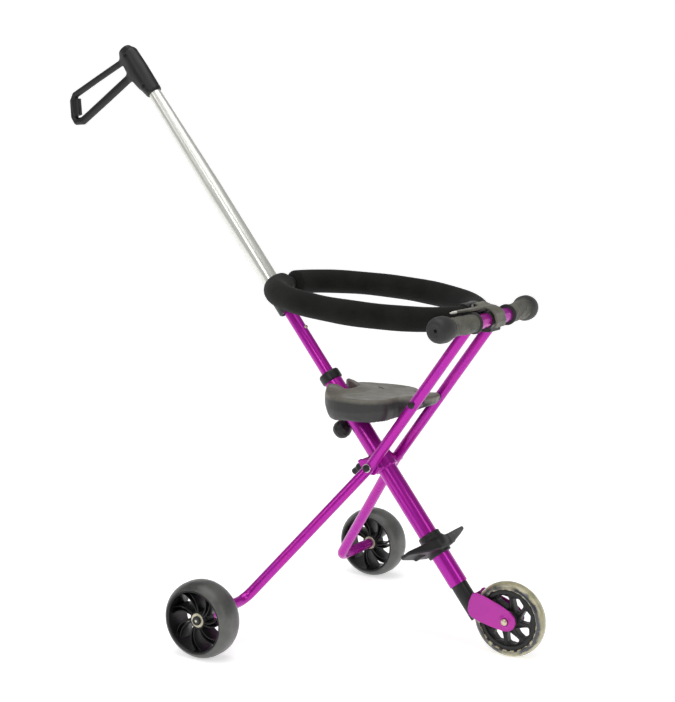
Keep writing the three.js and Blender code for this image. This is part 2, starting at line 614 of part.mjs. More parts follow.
// ---------------------------------------------------------------- seat
/** Saddle-shaped seat: wide behind, with a notch round the column, narrow between the legs. */
function seat() {
  const plan = new THREE.Shape();
  plan.moveTo(259, -SEAT_NOSE_HALF + 5);
  plan.quadraticCurveTo(264, 0, 259, SEAT_NOSE_HALF - 5);
  plan.lineTo(252, SEAT_NOSE_HALF);
  plan.lineTo(216, SEAT_NOSE_HALF);
  plan.quadraticCurveTo(206, 26, 204, 42);
  plan.bezierCurveTo(202, 66, 182, 76, 150, 76);
  plan.bezierCurveTo(118, 76, 96, 66, 86, 42);
  plan.quadraticCurveTo(81, 31, 83, 23);
  plan.lineTo(90, 20);
  plan.lineTo(108, 19);
  plan.quadraticCurveTo(116, 0, 108, -19);
  plan.lineTo(90, -20);
  plan.lineTo(83, -23);
  plan.quadraticCurveTo(81, -31, 86, -42);
  plan.bezierCurveTo(96, -66, 118, -76, 150, -76);
  plan.bezierCurveTo(182, -76, 202, -66, 204, -42);
  plan.quadraticCurveTo(206, -26, 216, -SEAT_NOSE_HALF);
  plan.lineTo(252, -SEAT_NOSE_HALF);
  plan.closePath();
  const tall = planPlate(plan, SEAT_BOTTOM, SEAT_LIP_TOP);
  const topTrim = sidePlate([
    [40, SEAT_LIP_TOP], [90, SEAT_LIP_TOP], [100, 394.5], [112, 389], [120, SEAT_TOP], [200, SEAT_TOP],
    [232, SEAT_NOSE_TOP - 1],
    [300, SEAT_NOSE_TOP], [300, 420], [40, 420],
  ], -120, 120);
  const underTrim = sidePlate([
    [40, 300], [40, 367], [84, 366], [92, 354], [104, 345.5], [118, SEAT_BOTTOM + 1], [160, SEAT_BOTTOM + 1],
    [205, 353], [226, 364], [245, 372.5], [264, 379], [300, 379], [300, 300],
  ], -120, 120);
  const cavity = planPlate([
    [122, -24], [120, -62], [150, -70], [184, -62], [196, -40], [200, -20], [200, 20], [196, 40], [184, 62],
    [150, 70], [120, 62], [122, 24],
  ], SEAT_BOTTOM - 10, SEAT_TOP - 5);
  const besideLip = [-1, 1].map((side) => frontPlate([
    [side * SEAT_LIP_HALF, SEAT_LIP_TOP + 1], [side * 44, 388.5], [side * 120, 388.5], [side * 120, 420],
    [side * SEAT_LIP_HALF, 420],
  ], 40, 119));
  const slots = [[142, -36, 0.5], [142, 36, -0.5]].map(([x, y, turn]) =>
    block(-8, 8, -1.6, 1.6, SEAT_BOTTOM, 400).rotateZ(turn).translate(x, y, 0));
  const boltHole = rodAcross(BOLT_HOLE, -60, 60, 16).translate(SEAT_BOLT[0], 0, SEAT_BOLT[1]);
  named('seat_pan', cut(tall, topTrim, underTrim, cavity, boltHole, columnPassage(), ...besideLip,
    ...slots), SEAT_PLASTIC(),
    tricycle);
}

/** Slanted passage that keeps the seat clear of the main tube, in the tricycle's frame. */
function columnPassage() {
  column.updateMatrixWorld(true);
  return rod(MAIN_TUBE_RADIUS + 3.4, 380, 560, 24).applyMatrix4(column.matrix);
}

// ---------------------------------------------------------------- safety ring
/** A station of the ring's centre line; the angle runs from the rear round the left side. */
function ringStation(angle) {
  return {
    point: vec(RING_HALF_LENGTH * (1 - Math.cos(angle)), RING_HALF_WIDTH * Math.sin(angle), 0),
    direction: vec(RING_HALF_LENGTH * Math.sin(angle), RING_HALF_WIDTH * Math.cos(angle), 0).normalize(),
  };
}

function ringStations() {
  const start = Math.asin(FOAM_END / RING_HALF_WIDTH);
  const steps = 22;
  return Array.from({ length: steps + 1 }, (_, i) =>
    ringStation(start + (2 * Math.PI - 2 * start) * i / steps));
}

function safetyRing() {
  const sides = 12;
  const padded = ringStations();
  const slit = 0.003;                  // half angle between the hoop's two ends, inside the eye
  const whole = [ringStation(slit), ...padded, ringStation(2 * Math.PI - slit)];
  named('ring_hoop', tubeAlong(whole, HOOP_RADIUS, 0, 8), STEEL(), ring);
  const bore = (HOOP_RADIUS + GAP) / Math.cos(Math.PI / sides);
  const taper = turnedAcross([
    [10.4, 5], [10.4, FOAM_END + 0.2], [13.6, 14], [18.6, 17.4], [60, 17.4], [60, 5],
  ], 24);
  const foam = cut(tubeAlong(padded, FOAM_RADIUS, bore, sides), taper, mirrorToRight(taper));
  named('ring_foam', foam, FOAM(), ring);
}

/** Sleeve on the handle tube with the eye that the hoop turns in. */
function ringSleeve() {
  const ahead = 25.1;
  const station = 672.5;
  const eye = rodAcross(10.5, -9, 9, 16).translate(ahead, 0, station);
  const neck = block(10, ahead, -9, 9, station - 9, station + 9);
  const barrel = turned([[0, SLEEVE_START], [16.4, SLEEVE_START], [SLEEVE_RADIUS, SLEEVE_START + 3],
    [SLEEVE_RADIUS, SLEEVE_END - 3], [16.4, SLEEVE_END], [0, SLEEVE_END]], 18);
  const bore = rod(HANDLE_TUBE_RADIUS + GAP, SLEEVE_START - 20, SLEEVE_END + 20, 18);
  const eyeHole = rodAcross(HOOP_RADIUS + 4 * GAP, -30, 30, 12).translate(ahead, 0, station);
  named('ring_sleeve', cut(join(barrel, eye, neck), bore, eyeHole), BLACK_PLASTIC(), column);
}

/** Pale latch: a hook over the handlebar and a crescent finger tab along the ring's front. */
function ringLatch() {
  const [px, pz] = LATCH_PIVOT;
  const hook = sidePlate([
    [px - 1.4, pz - 3.1], [px - 3.2, pz - 1.2], [px - 3.2, pz + 1.2], [px - 2.2, pz + 2.7], [px, pz + 3.6],
    [px + 5, pz + 3], [345, 537.6], [352, 536.8], [360, 534], [367, 528], [371, 515], [368, 506], [365.5, 506.5],
    [367, 515], [363.8, 525.5], [358, 531], [352, 533.2], [343, 533.6], [px + 3, pz - 3],
  ], -15, 15);
  const tab = new THREE.Shape();
  tab.moveTo(350, -13);
  tab.quadraticCurveTo(346, -56, 333, -100);
  tab.quadraticCurveTo(329, -104, 326, -99);
  tab.quadraticCurveTo(336, -56, 336, -13);
  const lever = planPlate(tab, 533.8, 537.4);
  const pinHole = rodAcross(2 + GAP, -30, 30, 12).translate(px, 0, pz);
  named('ring_latch', intoRing(cut(join(hook, lever), pinHole)), GREY_PLASTIC(), ring);
  named('latch_pin', intoRing(rodAcross(2, -21, 21, 12).translate(px, 0, pz)), STEEL(), ring);
  latchSaddle(px, pz);
}

/** Saddle on the foam's front that carries the latch's pin. */
function latchSaddle(px, pz) {
  const shape = new THREE.Shape();
  const outer = FOAM_RADIUS + 2.6;
  shape.absarc(2 * RING_HALF_LENGTH, 0, outer, 0.5, 2.2, false);
  shape.lineTo(2 * RING_HALF_LENGTH, 6);
  shape.closePath();
  const band = sidePlate(shape, -21, 21).applyMatrix4(ring.matrix);
  const lugs = [-1, 1].map((side) => sidePlate([
    [px - 12, pz - 10], [px + 2, pz - 8], [px + 3.2, pz + 2.8], [px - 3.6, pz + 3.2],
  ], side * 18.3 - 2.7, side * 18.3 + 2.7));
  const start = Math.PI * 0.9;
  const span = 2 * Math.PI - 2 * start;
  const nearFront = Array.from({ length: 5 }, (_, i) => ringStation(start + span * i / 4));
  const foamRoom = tubeAlong(nearFront, FOAM_RADIUS + 3 * GAP, 0, 24).applyMatrix4(ring.matrix);
  const pinHole = rodAcross(2 + GAP, -30, 30, 12).translate(px, 0, pz);
  named('latch_saddle', intoRing(cut(join(band, ...lugs), foamRoom, pinHole)), BLACK_PLASTIC(), ring);
}

const intoRing = (geometry) => geometry.applyMatrix4(ring.matrix.clone().invert());

// ---------------------------------------------------------------- wheels
/** Wide rear tyre with a rounded tread and sides. */
function rearTyre() {
  const h = REAR_WIDTH / 2;
  return standing(turnedAcross([
    [49.3, -h], [51.8, -h + 1.6], [54.6, -h + 4.4], [57.2, -h + 8.8], [58.8, -h + 13.5],
    [REAR_RADIUS, -h + 18],
    [REAR_RADIUS, h - 18], [58.8, h - 13.5], [57.2, h - 8.8], [54.6, h - 4.4], [51.8, h - 1.6], [49.3, h],
  ], WHEEL_SIDES));
}

/** Dished rear hub, outer face towards -Y: barrel, boss and seven pairs of thin curved spokes. */
function rearHub() {
  const barrel = standing(turnedAcross([
    [46.4, -24], [49, -24], [49, 24], [46.4, 24],
  ], WHEEL_SIDES));
  const boss = rodAcross(12.5, -13, 13, 20);
  const blades = [];
  for (let i = 0; i < 14; i += 1) {
    const pairShift = i % 2 ? 0.11 : -0.11;
    const angle = Math.PI * 2 * i / 14 + pairShift;
    blades.push(spokeBlade(angle, 11, 47.6, 0.42, 1.2, -17, 8));
  }
  const body = join(barrel, boss, ...blades);
  const seats = [rodAcross(11 + GAP, -20, -7, 20), rodAcross(11 + GAP, 7, 20, 20)];
  return cut(body, ...seats, rodAcross(5, -20, 20, 16));
}

/** Thin curved blade from the boss to the rim; lean is the angle that its tip trails by. */
function spokeBlade(angle, inner, outer, lean, halfThickness, y0, y1) {
  const steps = 2;
  const edge = (side) => Array.from({ length: steps + 1 }, (_, k) => {
    const r = inner + (outer - inner) * k / steps;
    const a = angle + lean * (k / steps) ** 1.6;
    const shift = side * halfThickness;
    return [r * Math.cos(a) - shift * Math.sin(a), r * Math.sin(a) + shift * Math.cos(a)];
  });
  return sidePlate([...edge(-1), ...edge(1).reverse()], y0, y1);
}

function frontTyre() {
  const h = FRONT_WIDTH / 2;
  return standing(turnedAcross([
    [47.3, -h + 1.4], [51.6, -h + 0.6], [56.6, -h + 4.6], [FRONT_RADIUS, -h + 9.6],
    [FRONT_RADIUS, h - 9.6], [56.6, h - 4.6], [51.6, h - 0.6], [47.3, h - 1.4],
  ], WHEEL_SIDES));
}

/** Front core: rim and boss joined by a web with eight curved teardrop openings. */
function frontCore() {
  const web = new THREE.Shape();
  web.absarc(0, 0, 42, 0, 2 * Math.PI, false);
  for (let i = 0; i < 8; i += 1) {
    const opening = new THREE.Path();
    const turn = i * Math.PI / 4;
    const polar = (r, a) => new THREE.Vector2(r * Math.cos(a + turn), r * Math.sin(a + turn));
    const points = [polar(18, -0.16), polar(27, 0.28), polar(35, 0.42), polar(38.4, 0.16), polar(35, -0.12),
      polar(27, -0.17)];
    opening.setFromPoints(points);
    opening.closePath();
    web.holes.push(opening);
  }
  const disc = sidePlate(web, -6, 6);
  const rim = standing(turnedAcross([[40, -9.6], [47, -9.6], [47, 9.6], [40, 9.6]], WHEEL_SIDES));
  const boss = rodAcross(13.6, -11.6, 11.6, 20);
  return cut(join(disc, rim, boss), rodAcross(11 + GAP, -20, -4, 20), rodAcross(11 + GAP, 4, 20, 20),
    rodAcross(5, -20, 20, 16));
}

function wheels() {
  const bearing = (y0, y1, bore) => ringAcross(11, bore, y0, y1, 20);
  for (const [side, sign] of [['right', -1], ['left', 1]]) {
    const wheel = new THREE.Group();
    wheel.position.set(0, sign * HALF_TRACK, REAR_AXLE_Z);
    tricycle.add(wheel);
    const hub = sign < 0 ? rearHub() : mirrorToRight(rearHub());
    named(`rear_tyre_${side}`, rearTyre(), TYRE(), wheel);
    named(`rear_hub_${side}`, hub, BLACK_PLASTIC(), wheel);
    const [outer, inner] = sign < 0 ? [[-13, -7.3], [7.3, 13]] : [[7.3, 13], [-13, -7.3]];
    named(`bearing_outer_${side}`, bearing(...outer, 4 + GAP), STEEL(), wheel);
    named(`bearing_inner_${side}`, bearing(...inner, 4 + GAP), STEEL(), wheel);
  }
  const front = new THREE.Group();
  front.position.set(FRONT_AXLE_X, 0, AXLE_Z);
  tricycle.add(front);
  named('front_tyre', frontTyre(), CLEAR_TYRE(), front);
  named('front_core', frontCore(), BLACK_PLASTIC(), front);
  named('front_bearing_right', bearing(-11.6, -4.3, 4 + GAP), STEEL(), front);
  named('front_bearing_left', bearing(4.3, 11.6, 4 + GAP), STEEL(), front);
}

// ---------------------------------------------------------------- assembly
column.updateMatrixWorld(true);
ring.updateMatrixWorld(true);
mainFrame();
pivotBracket();
foldLock();
footrest();
seatLock();
steeringColumn();
fork();
steererNeck();
frontAxle();
handleTube();
pushHandle();
legs();
handlebar();
grips();
fasteners();
seat();
safetyRing();
ringSleeve();
ringLatch();
wheels();

// Centre the footprint: the origin is the middle of the bounding box, on the ground.
const bounds = new THREE.Box3().setFromObject(tricycle, true);
tricycle.position.x = -(bounds.min.x + bounds.max.x) / 2;
tricycle.position.z = -bounds.min.z;

export default tricycle;
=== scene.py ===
"""Looks of a folding children's tricycle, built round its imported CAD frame.

Shapes are given in millimetres, in the frame of the part they belong to: the ground frame under
the rear axle, the steering column's frame (local Z up the column, local X to its front), the
safety ring's frame, or a wheel's own frame. A piece's object carries that frame, so texture
coordinates follow the part. Blender objects are in metres.
"""

import functools
import json
import math

import bmesh
import bpy
import numpy as np
from mathutils import Matrix, Vector


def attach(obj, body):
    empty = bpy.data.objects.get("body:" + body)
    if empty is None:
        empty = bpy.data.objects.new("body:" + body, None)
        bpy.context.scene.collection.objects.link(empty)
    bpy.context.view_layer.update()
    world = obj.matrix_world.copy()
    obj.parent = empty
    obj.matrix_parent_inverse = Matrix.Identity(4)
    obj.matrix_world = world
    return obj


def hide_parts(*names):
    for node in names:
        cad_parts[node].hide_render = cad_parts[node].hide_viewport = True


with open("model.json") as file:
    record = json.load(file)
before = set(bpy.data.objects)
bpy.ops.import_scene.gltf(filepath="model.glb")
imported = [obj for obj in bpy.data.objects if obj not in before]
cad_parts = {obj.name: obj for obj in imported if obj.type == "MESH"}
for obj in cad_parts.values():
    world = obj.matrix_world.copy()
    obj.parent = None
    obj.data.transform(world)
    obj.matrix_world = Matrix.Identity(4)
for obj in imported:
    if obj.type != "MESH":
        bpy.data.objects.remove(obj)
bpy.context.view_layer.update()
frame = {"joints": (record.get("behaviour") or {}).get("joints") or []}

# ------------------------------------------------------------------ frames
MM = 0.001
JOINTS = {joint["name"]: joint for joint in frame["joints"]}


def axes_at(origin, x_axis, z_axis):
    """Matrix of a local frame from its origin and two of its axes."""
    x, z = Vector(x_axis).normalized(), Vector(z_axis).normalized()
    y = z.cross(x)
    columns = [x.to_4d(), y.to_4d(), z.to_4d(), Vector(origin).to_4d()]
    for column in columns[:3]:
        column.w = 0
    return Matrix(columns).transposed()


def joint_place(name):
    """Upright frame at a joint's place."""
    return Matrix.Translation(Vector(JOINTS[name]["pos_m"]))


COLUMN_AXIS = Vector(JOINTS["steer"]["axis"]).normalized()
COLUMN = axes_at(JOINTS["steer"]["pos_m"], (COLUMN_AXIS.z, 0, -COLUMN_AXIS.x), COLUMN_AXIS)
REAR_AXLE = Vector(JOINTS["rear_wheel_right_spin"]["pos_m"])
GROUND = Matrix.Translation((REAR_AXLE.x, 0, 0))
RING_TILT = math.radians(4.9)
RING = joint_place("ring_lift") @ Matrix.Rotation(RING_TILT, 4, "Y")
WHEEL_RIGHT = joint_place("rear_wheel_right_spin")
WHEEL_LEFT = joint_place("rear_wheel_left_spin")
WHEEL_FRONT = joint_place("front_wheel_spin")


def in_ground(name):
    """A joint's place in the ground frame, in millimetres."""
    return np.array(GROUND.inverted() @ Vector(JOINTS[name]["pos_m"])) / MM


PIVOT = in_ground("frame_fold")
SEAT_BOLT = in_ground("seat_fold")
LATCH_PIN = in_ground("latch_open")
FRONT_AXLE = in_ground("front_wheel_spin")


# ------------------------------------------------------------------ materials
class Look:
    """A procedural material: a Principled shader with helpers to build what feeds it."""

    def __init__(self, name, color, roughness, metallic=0.0, **settings):
        self.material = bpy.data.materials.new(name)
        self.material.use_nodes = True
        self.tree = self.material.node_tree
        self.shader = self.tree.nodes["Principled BSDF"]
        self.set("Base Color", (*color, 1))
        self.set("Roughness", roughness)
        self.set("Metallic", metallic)
        for socket, value in settings.items():
            self.set(socket.replace("_", " "), value)
        self.coordinates = self.tree.nodes.new("ShaderNodeTexCoord").outputs["Object"]

    def set(self, socket, value):
        self.shader.inputs[socket].default_value = value

    def node(self, kind, inputs=None, **properties):
        made = self.tree.nodes.new("ShaderNode" + kind)
        for key, value in properties.items():
            setattr(made, key, value)
        for key, value in (inputs or {}).items():
            if isinstance(value, bpy.types.NodeSocket):
                self.tree.links.new(value, made.inputs[key])
            else:
                made.inputs[key].default_value = value
        return made

    def math(self, operation, first, second=0.0):
        return self.node("Math", {0: first, 1: second}, operation=operation).outputs[0]

    def stretched(self, scale):
        """Object coordinates scaled along each axis."""
        return self.node("Mapping", {"Vector": self.coordinates, "Scale": scale}).outputs["Vector"]

    def noise(self, scale, detail=3.0, roughness=0.55, vector=None):
        return self.node("TexNoise", {
            "Vector": vector or self.coordinates, "Scale": scale, "Detail": detail, "Roughness": roughness,
        }).outputs["Fac"]

    def cells(self, scale):
        return self.node("TexVoronoi", {"Vector": self.coordinates, "Scale": scale}).outputs["Distance"]

    def between(self, factor, low, high, new_low=0.0, new_high=1.0):
        return self.node("MapRange", {
            "Value": factor, "From Min": low, "From Max": high, "To Min": new_low, "To Max": new_high,
        }).outputs["Result"]

    def radius(self):
        """Distance from the piece's local Y axis."""
        axes = self.node("SeparateXYZ", {0: self.coordinates}).outputs
        squares = [self.math("MULTIPLY", axes[n], axes[n]) for n in (0, 2)]
        return self.math("SQRT", self.math("ADD", *squares))

    def blend(self, factor, first, second):
        mix = self.node("Mix", data_type="RGBA")
        sockets = (mix.inputs["Factor"], mix.inputs[6], mix.inputs[7])
        for socket, value in zip(sockets, (factor, first, second)):
            if isinstance(value, bpy.types.NodeSocket):
                self.tree.links.new(value, socket)
            else:
                socket.default_value = value if isinstance(value, float) else (*value, 1)
        return mix.outputs[2]

    def feed(self, socket, output):
        self.tree.links.new(output, self.shader.inputs[socket])

    def sheen(self, scale, low, high, detail=4):
        """Roughness that wanders from low to high."""
        self.feed("Roughness", self.between(self.noise(scale, detail), 0.3, 0.7, low, high))

    def bump(self, *layers):
        """Layers are (height, strength, distance in metres), the coarsest first."""
        normal = None
        for height, strength, distance in layers:
            made = self.node("Bump", {"Height": height, "Strength": strength, "Distance": distance})
            if normal:
                self.tree.links.new(normal, made.inputs["Normal"])
            normal = made.outputs["Normal"]
        self.feed("Normal", normal)


def anodised(name, color, shade, roughness, metallic, lined=True):
    """Dyed aluminium tube: faint cloudiness in the dye under a clear hard skin, and drawing lines along Z."""
    look = Look(name, color, roughness, metallic, Coat_Weight=0.25, Coat_Roughness=0.06,
                Specular_IOR_Level=0.3)
    lines = look.noise(260, 2, vector=look.stretched((1, 1, 0.02))) if lined else look.noise(60, 2)
    cloud = look.noise(14, 3)
    tint = look.math("ADD", look.between(cloud, 0.3, 0.7, 0, 0.7), look.between(lines, 0.3, 0.7, 0, 0.3))
    look.feed("Base Color", look.blend(tint, color, shade))
    look.feed("Roughness", look.between(lines, 0.3, 0.7, roughness - 0.05, roughness + 0.07))
    look.bump((lines, 0.02, 0.0002), (look.noise(900, 2), 0.03, 0.0001))
    return look.material


def moulded(name, color, light, roughness, **settings):
    """Moulded plastic: spark-eroded grain, slight wear that lightens it, uneven sheen."""
    look = Look(name, color, roughness, **settings)
    speckle = look.noise(1500, 2)
    wear = look.between(look.noise(38, 5, 0.65), 0.52, 0.75)
    look.feed("Base Color", look.blend(look.math("MULTIPLY", wear, 0.6), color, light))
    look.sheen(60, roughness - 0.06, roughness + 0.08)
    look.bump((wear, 0.04, 0.0005), (speckle, 0.12, 0.0002))
    return look.material


def painted(name, color, shade, roughness):
    """Powder coat with a fine orange peel."""
    look = Look(name, color, roughness, 0.1, Coat_Weight=0.3, Coat_Roughness=0.2, Specular_IOR_Level=0.3)
    peel = look.noise(420, 2)
    look.feed("Base Color", look.blend(look.between(look.noise(24, 3), 0.35, 0.7), color, shade))
    look.sheen(80, roughness - 0.05, roughness + 0.05, 3)
    look.bump((peel, 0.12, 0.0003))
    return look.material


def plated(name, color, roughness, metallic=1.0):
    """Zinc or brass plate with turning marks and faint stains."""
    look = Look(name, color, roughness, metallic)
    stain = look.between(look.noise(160, 4), 0.35, 0.7)
    dull = tuple(0.72 * c for c in color)
    look.feed("Base Color", look.blend(look.math("MULTIPLY", stain, 0.6), color, dull))
    look.feed("Roughness", look.between(stain, 0, 1, roughness - 0.05, roughness + 0.12))
    look.bump((look.noise(1200, 2), 0.1, 0.0001))
    return look.material


def bolt_head():
    """Blackened cap screw with the bright end of the axle showing in its socket."""
    black, bright = (0.02, 0.02, 0.021), (0.6, 0.6, 0.5)
    look = Look("bolt_head", black, 0.36, 0.5)
    stain = look.between(look.noise(160, 4), 0.35, 0.7)
    look.feed("Base Color", look.blend(look.between(look.radius(), 0.0018, 0.0021, 1, 0),
                                       look.blend(stain, black, (0.05, 0.05, 0.05)), bright))
    look.feed("Roughness", look.between(stain, 0, 1, 0.3, 0.45))
    look.bump((look.noise(1200, 2), 0.1, 0.0001))
    return look.material


def seat_plastic():
    """Seat plastic: near black, with its top painted olive-grey as painted light from above, and random
    rubbed patches there.
    """
    # top is painted light: the top is coloured lighter than the sides because light from above falls on it;
    # rubbed patches on it are wear.
    side, top, rubbed = (0.02, 0.02, 0.019), (0.125, 0.117, 0.095), (0.185, 0.175, 0.145)
    look = Look("seat_plastic", side, 0.42)
    height = look.node("SeparateXYZ", {0: look.coordinates}).outputs[2]
    lit_top_height = look.math("ADD", height, look.between(look.noise(30, 4), 0.3, 0.7, -0.0012, 0.0012))
    wear = look.between(look.noise(26, 5, 0.65), 0.35, 0.7)
    lit_top_and_wear = look.blend(wear, top, rubbed)
    # Painted light: above about 0.38 m up the seat the colour turns from the sides' near black to the lit
    # top.
    look.feed("Base Color", look.blend(look.between(lit_top_height, 0.3785, 0.3845), side, lit_top_and_wear))
    look.sheen(60, 0.36, 0.5)
    look.bump((wear, 0.04, 0.0005), (look.noise(1100, 2), 0.22, 0.0002))
    return look.material


def latch_plastic():
    """Olive-grey strap plastic, with a painted highlight: near white at the finger tab's tip."""
    # tip is a painted highlight colour, near white, for the tab's end.
    color, worn, tip = (0.085, 0.083, 0.062), (0.16, 0.155, 0.12), (0.75, 0.74, 0.68)
    look = Look("latch_plastic", color, 0.4)
    along = look.node("SeparateXYZ", {0: look.coordinates}).outputs[1]
    tab_highlight_reach = look.math("ADD", along, look.between(look.noise(90, 4), 0.3, 0.7, -0.004, 0.004))
    body = look.blend(look.between(look.noise(40, 4), 0.4, 0.7), color, worn)
    # Painted highlight: beyond about 80 mm out along the tab the colour turns near white.
    look.feed("Base Color", look.blend(look.between(tab_highlight_reach, -0.083, -0.079, 1, 0), body, tip))
    look.sheen(60, 0.34, 0.48)
    look.bump((look.noise(1500, 2), 0.12, 0.0002))
    return look.material


def grip_rubber():
    """Soft grip rubber, greyed by handling on its body and darker on its ball end."""
    dark, body, rubbed = (0.014, 0.014, 0.013), (0.062, 0.062, 0.05), (0.115, 0.113, 0.088)
    look = Look("grip_rubber", body, 0.62, Sheen_Weight=0.05, Sheen_Roughness=0.5)
    along = look.math("ABSOLUTE", look.node("SeparateXYZ", {0: look.coordinates}).outputs[1])
    wear = look.between(look.noise(45, 5, 0.65), 0.42, 0.7)
    handled = look.blend(wear, body, rubbed)
    ends = look.math("MAXIMUM", look.between(along, 0.072, 0.082), look.between(along, 0.0118, 0.0112))
    look.feed("Base Color", look.blend(ends, handled, dark))
    look.sheen(80, 0.55, 0.72)
    look.bump((wear, 0.05, 0.0004), (look.noise(900, 2), 0.3, 0.0002))
    return look.material


def foam_skin():
    """Closed-cell foam: a matt skin of fine pores over gentle lumps."""
    color, light = (0.0045, 0.0045, 0.004), (0.011, 0.011, 0.009)
    look = Look("foam_skin", color, 0.86, Sheen_Weight=0.04, Sheen_Roughness=0.6, Specular_IOR_Level=0.12)
    pores = look.cells(1500)
    lumps = look.noise(55, 3)
    look.feed("Base Color", look.blend(look.between(look.noise(30, 4), 0.35, 0.75), color, light))
    look.feed("Roughness", look.between(pores, 0.1, 0.7, 0.78, 0.92))
    look.bump((lumps, 0.12, 0.002), (pores, 0.25, 0.0003))
    return look.material


def rear_rubber():
    """Dark grey polyurethane, a little smoky: dust along the sides and fine scuffs on the tread."""
    color, pale, olive = (0.026, 0.028, 0.027), (0.125, 0.127, 0.118), (0.085, 0.085, 0.055)
    look = Look("rear_rubber", color, 0.42, Coat_Weight=0.15, Coat_Roughness=0.3, Subsurface_Weight=0.06,
                Subsurface_Scale=0.004)
    cloud = look.between(look.noise(13, 4), 0.38, 0.68)
    scuff = look.between(look.noise(120, 5, 0.7, look.stretched((1, 0.25, 1))), 0.5, 0.75)
    around = look.blend(cloud, color, pale)
    look.feed("Base Color", look.blend(look.math("MULTIPLY", scuff, 0.5), around, olive))
    look.feed("Roughness", look.between(scuff, 0, 1, 0.36, 0.58))
    look.bump((look.noise(70, 3), 0.08, 0.0008), (scuff, 0.08, 0.0004))
    return look.material


def clear_rubber():
    """Smoky cream polyurethane over the core's dark toothed band, which shows through its sides."""
    cream, olive, dark = (0.5, 0.46, 0.29), (0.3, 0.285, 0.175), (0.035, 0.038, 0.046)
    look = Look("clear_rubber", cream, 0.22, Coat_Weight=0.6, Coat_Roughness=0.06, Subsurface_Weight=0.25,
                Subsurface_Scale=0.006)
    axes = look.node("SeparateXYZ", {0: look.coordinates}).outputs
    radius = look.radius()
    wobble = look.between(look.noise(45, 4), 0.3, 0.7, -0.0022, 0.0022)
    depth = look.math("ADD", radius, wobble)
    angle = look.math("ARCTAN2", axes[2], axes[0])
    teeth = look.between(look.math("SINE", look.math("MULTIPLY", angle, 24.0)), -0.25, 0.25)
    toothed = look.math("MULTIPLY", teeth, look.between(depth, 0.0485, 0.0495, 1, 0))
    inner_edge, outer_edge = look.between(depth, 0.0488, 0.0496), look.between(depth, 0.0538, 0.0562, 1, 0)
    band = look.math("MULTIPLY", inner_edge, outer_edge)
    patch = look.math("MULTIPLY", band, look.between(look.noise(22, 4), 0.36, 0.5))
    shade = look.math("MAXIMUM", toothed, patch)
    body = look.blend(look.between(look.noise(60, 4), 0.3, 0.7), cream, olive)
    look.feed("Base Color", look.blend(shade, body, dark))
    look.sheen(90, 0.14, 0.3, 3)
    look.bump((look.noise(60, 3), 0.06, 0.0008))
    return look.material


PURPLE = ((0.46, 0.009, 0.33), (0.39, 0.009, 0.37))
LOOKS = {
    "purple_tube": anodised("anodised_purple", *PURPLE, 0.26, 0.55),
    "purple_bent": anodised("anodised_bent", *PURPLE, 0.26, 0.55, lined=False),
    "fork_paint": painted("fork_paint", (0.47, 0.018, 0.34), (0.42, 0.018, 0.33), 0.42),
    "silver_tube": anodised("anodised_silver", (0.8, 0.8, 0.76), (0.72, 0.72, 0.66), 0.24, 0.6),
    "steel": plated("zinc_plate", (0.6, 0.6, 0.56), 0.28),
    "brass": plated("brass_plate", (0.66, 0.58, 0.42), 0.3),
    "blackened": plated("blackened_steel", (0.03, 0.03, 0.03), 0.4),
    "bolt_head": bolt_head(),
    "bearing": plated("bearing_steel", (0.62, 0.59, 0.44), 0.34, 0.5),
    "black_plastic": moulded("black_plastic", (0.007, 0.007, 0.007), (0.024, 0.024, 0.021), 0.4,
                             Specular_IOR_Level=0.4),
    "hub_plastic": moulded("hub_plastic", (0.006, 0.006, 0.0065), (0.018, 0.018, 0.018), 0.38,
                           Specular_IOR_Level=0.35),
    "seat_plastic": seat_plastic(),
    "grey_plastic": latch_plastic(),
    "grip_rubber": grip_rubber(),
    "rear_tyre": rear_rubber(),
    "clear_tyre": clear_rubber(),
    "foam": foam_skin(),
}


# ------------------------------------------------------------------ meshes
def build(node, shape, place, body, look, sharp=38, name=None):
    """Makes the piece that stands for a CAD node, from (points in millimetres, faces), on its body.

    Edges steeper than sharp degrees stay crisp.
    """
    points, faces = shape
    name = name or node + "_skin"
    mesh = bpy.data.meshes.new(name)
    mesh.from_pydata((np.asarray(points, float) * MM).tolist(), [], [tuple(map(int, f)) for f in faces])
    work = bmesh.new()
    work.from_mesh(mesh)
    bmesh.ops.remove_doubles(work, verts=work.verts, dist=2e-6)
    bmesh.ops.recalc_face_normals(work, faces=work.faces)
    work.to_mesh(mesh)
    work.free()
    mesh.materials.append(LOOKS[look])
    mesh.shade_smooth()
    mesh.set_sharp_from_angle(angle=math.radians(sharp))
    piece = bpy.data.objects.new(name, mesh)
    bpy.context.scene.collection.objects.link(piece)
    piece.matrix_world = place
    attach(piece, body)
    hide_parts(node)
    return piece


def fillet(profile, radius, closed, steps=4):
    """Rounds a profile's corners; those on the axis and the shallow ones stay."""
    points = [np.array(p, float) for p in profile]
    rounded = []
    for i, corner in enumerate(points):
        if not closed and i in (0, len(points) - 1):
            rounded.append(corner)
            continue
        before, after = points[i - 1] - corner, points[(i + 1) % len(points)] - corner
        reach = min(np.linalg.norm(before), np.linalg.norm(after)) * 0.45
        b, a = before / np.linalg.norm(before), after / np.linalg.norm(after)
        turn = math.acos(np.clip(np.dot(b, a), -1, 1))
        if turn > math.radians(165):
            rounded.append(corner)
            continue
        cut = min(radius / math.tan(turn / 2), reach)
        start, end = corner + b * cut, corner + a * cut
        for k in range(steps + 1):
            t = k / steps
            rounded.append((1 - t) ** 2 * start + 2 * t * (1 - t) * corner + t * t * end)
    return rounded


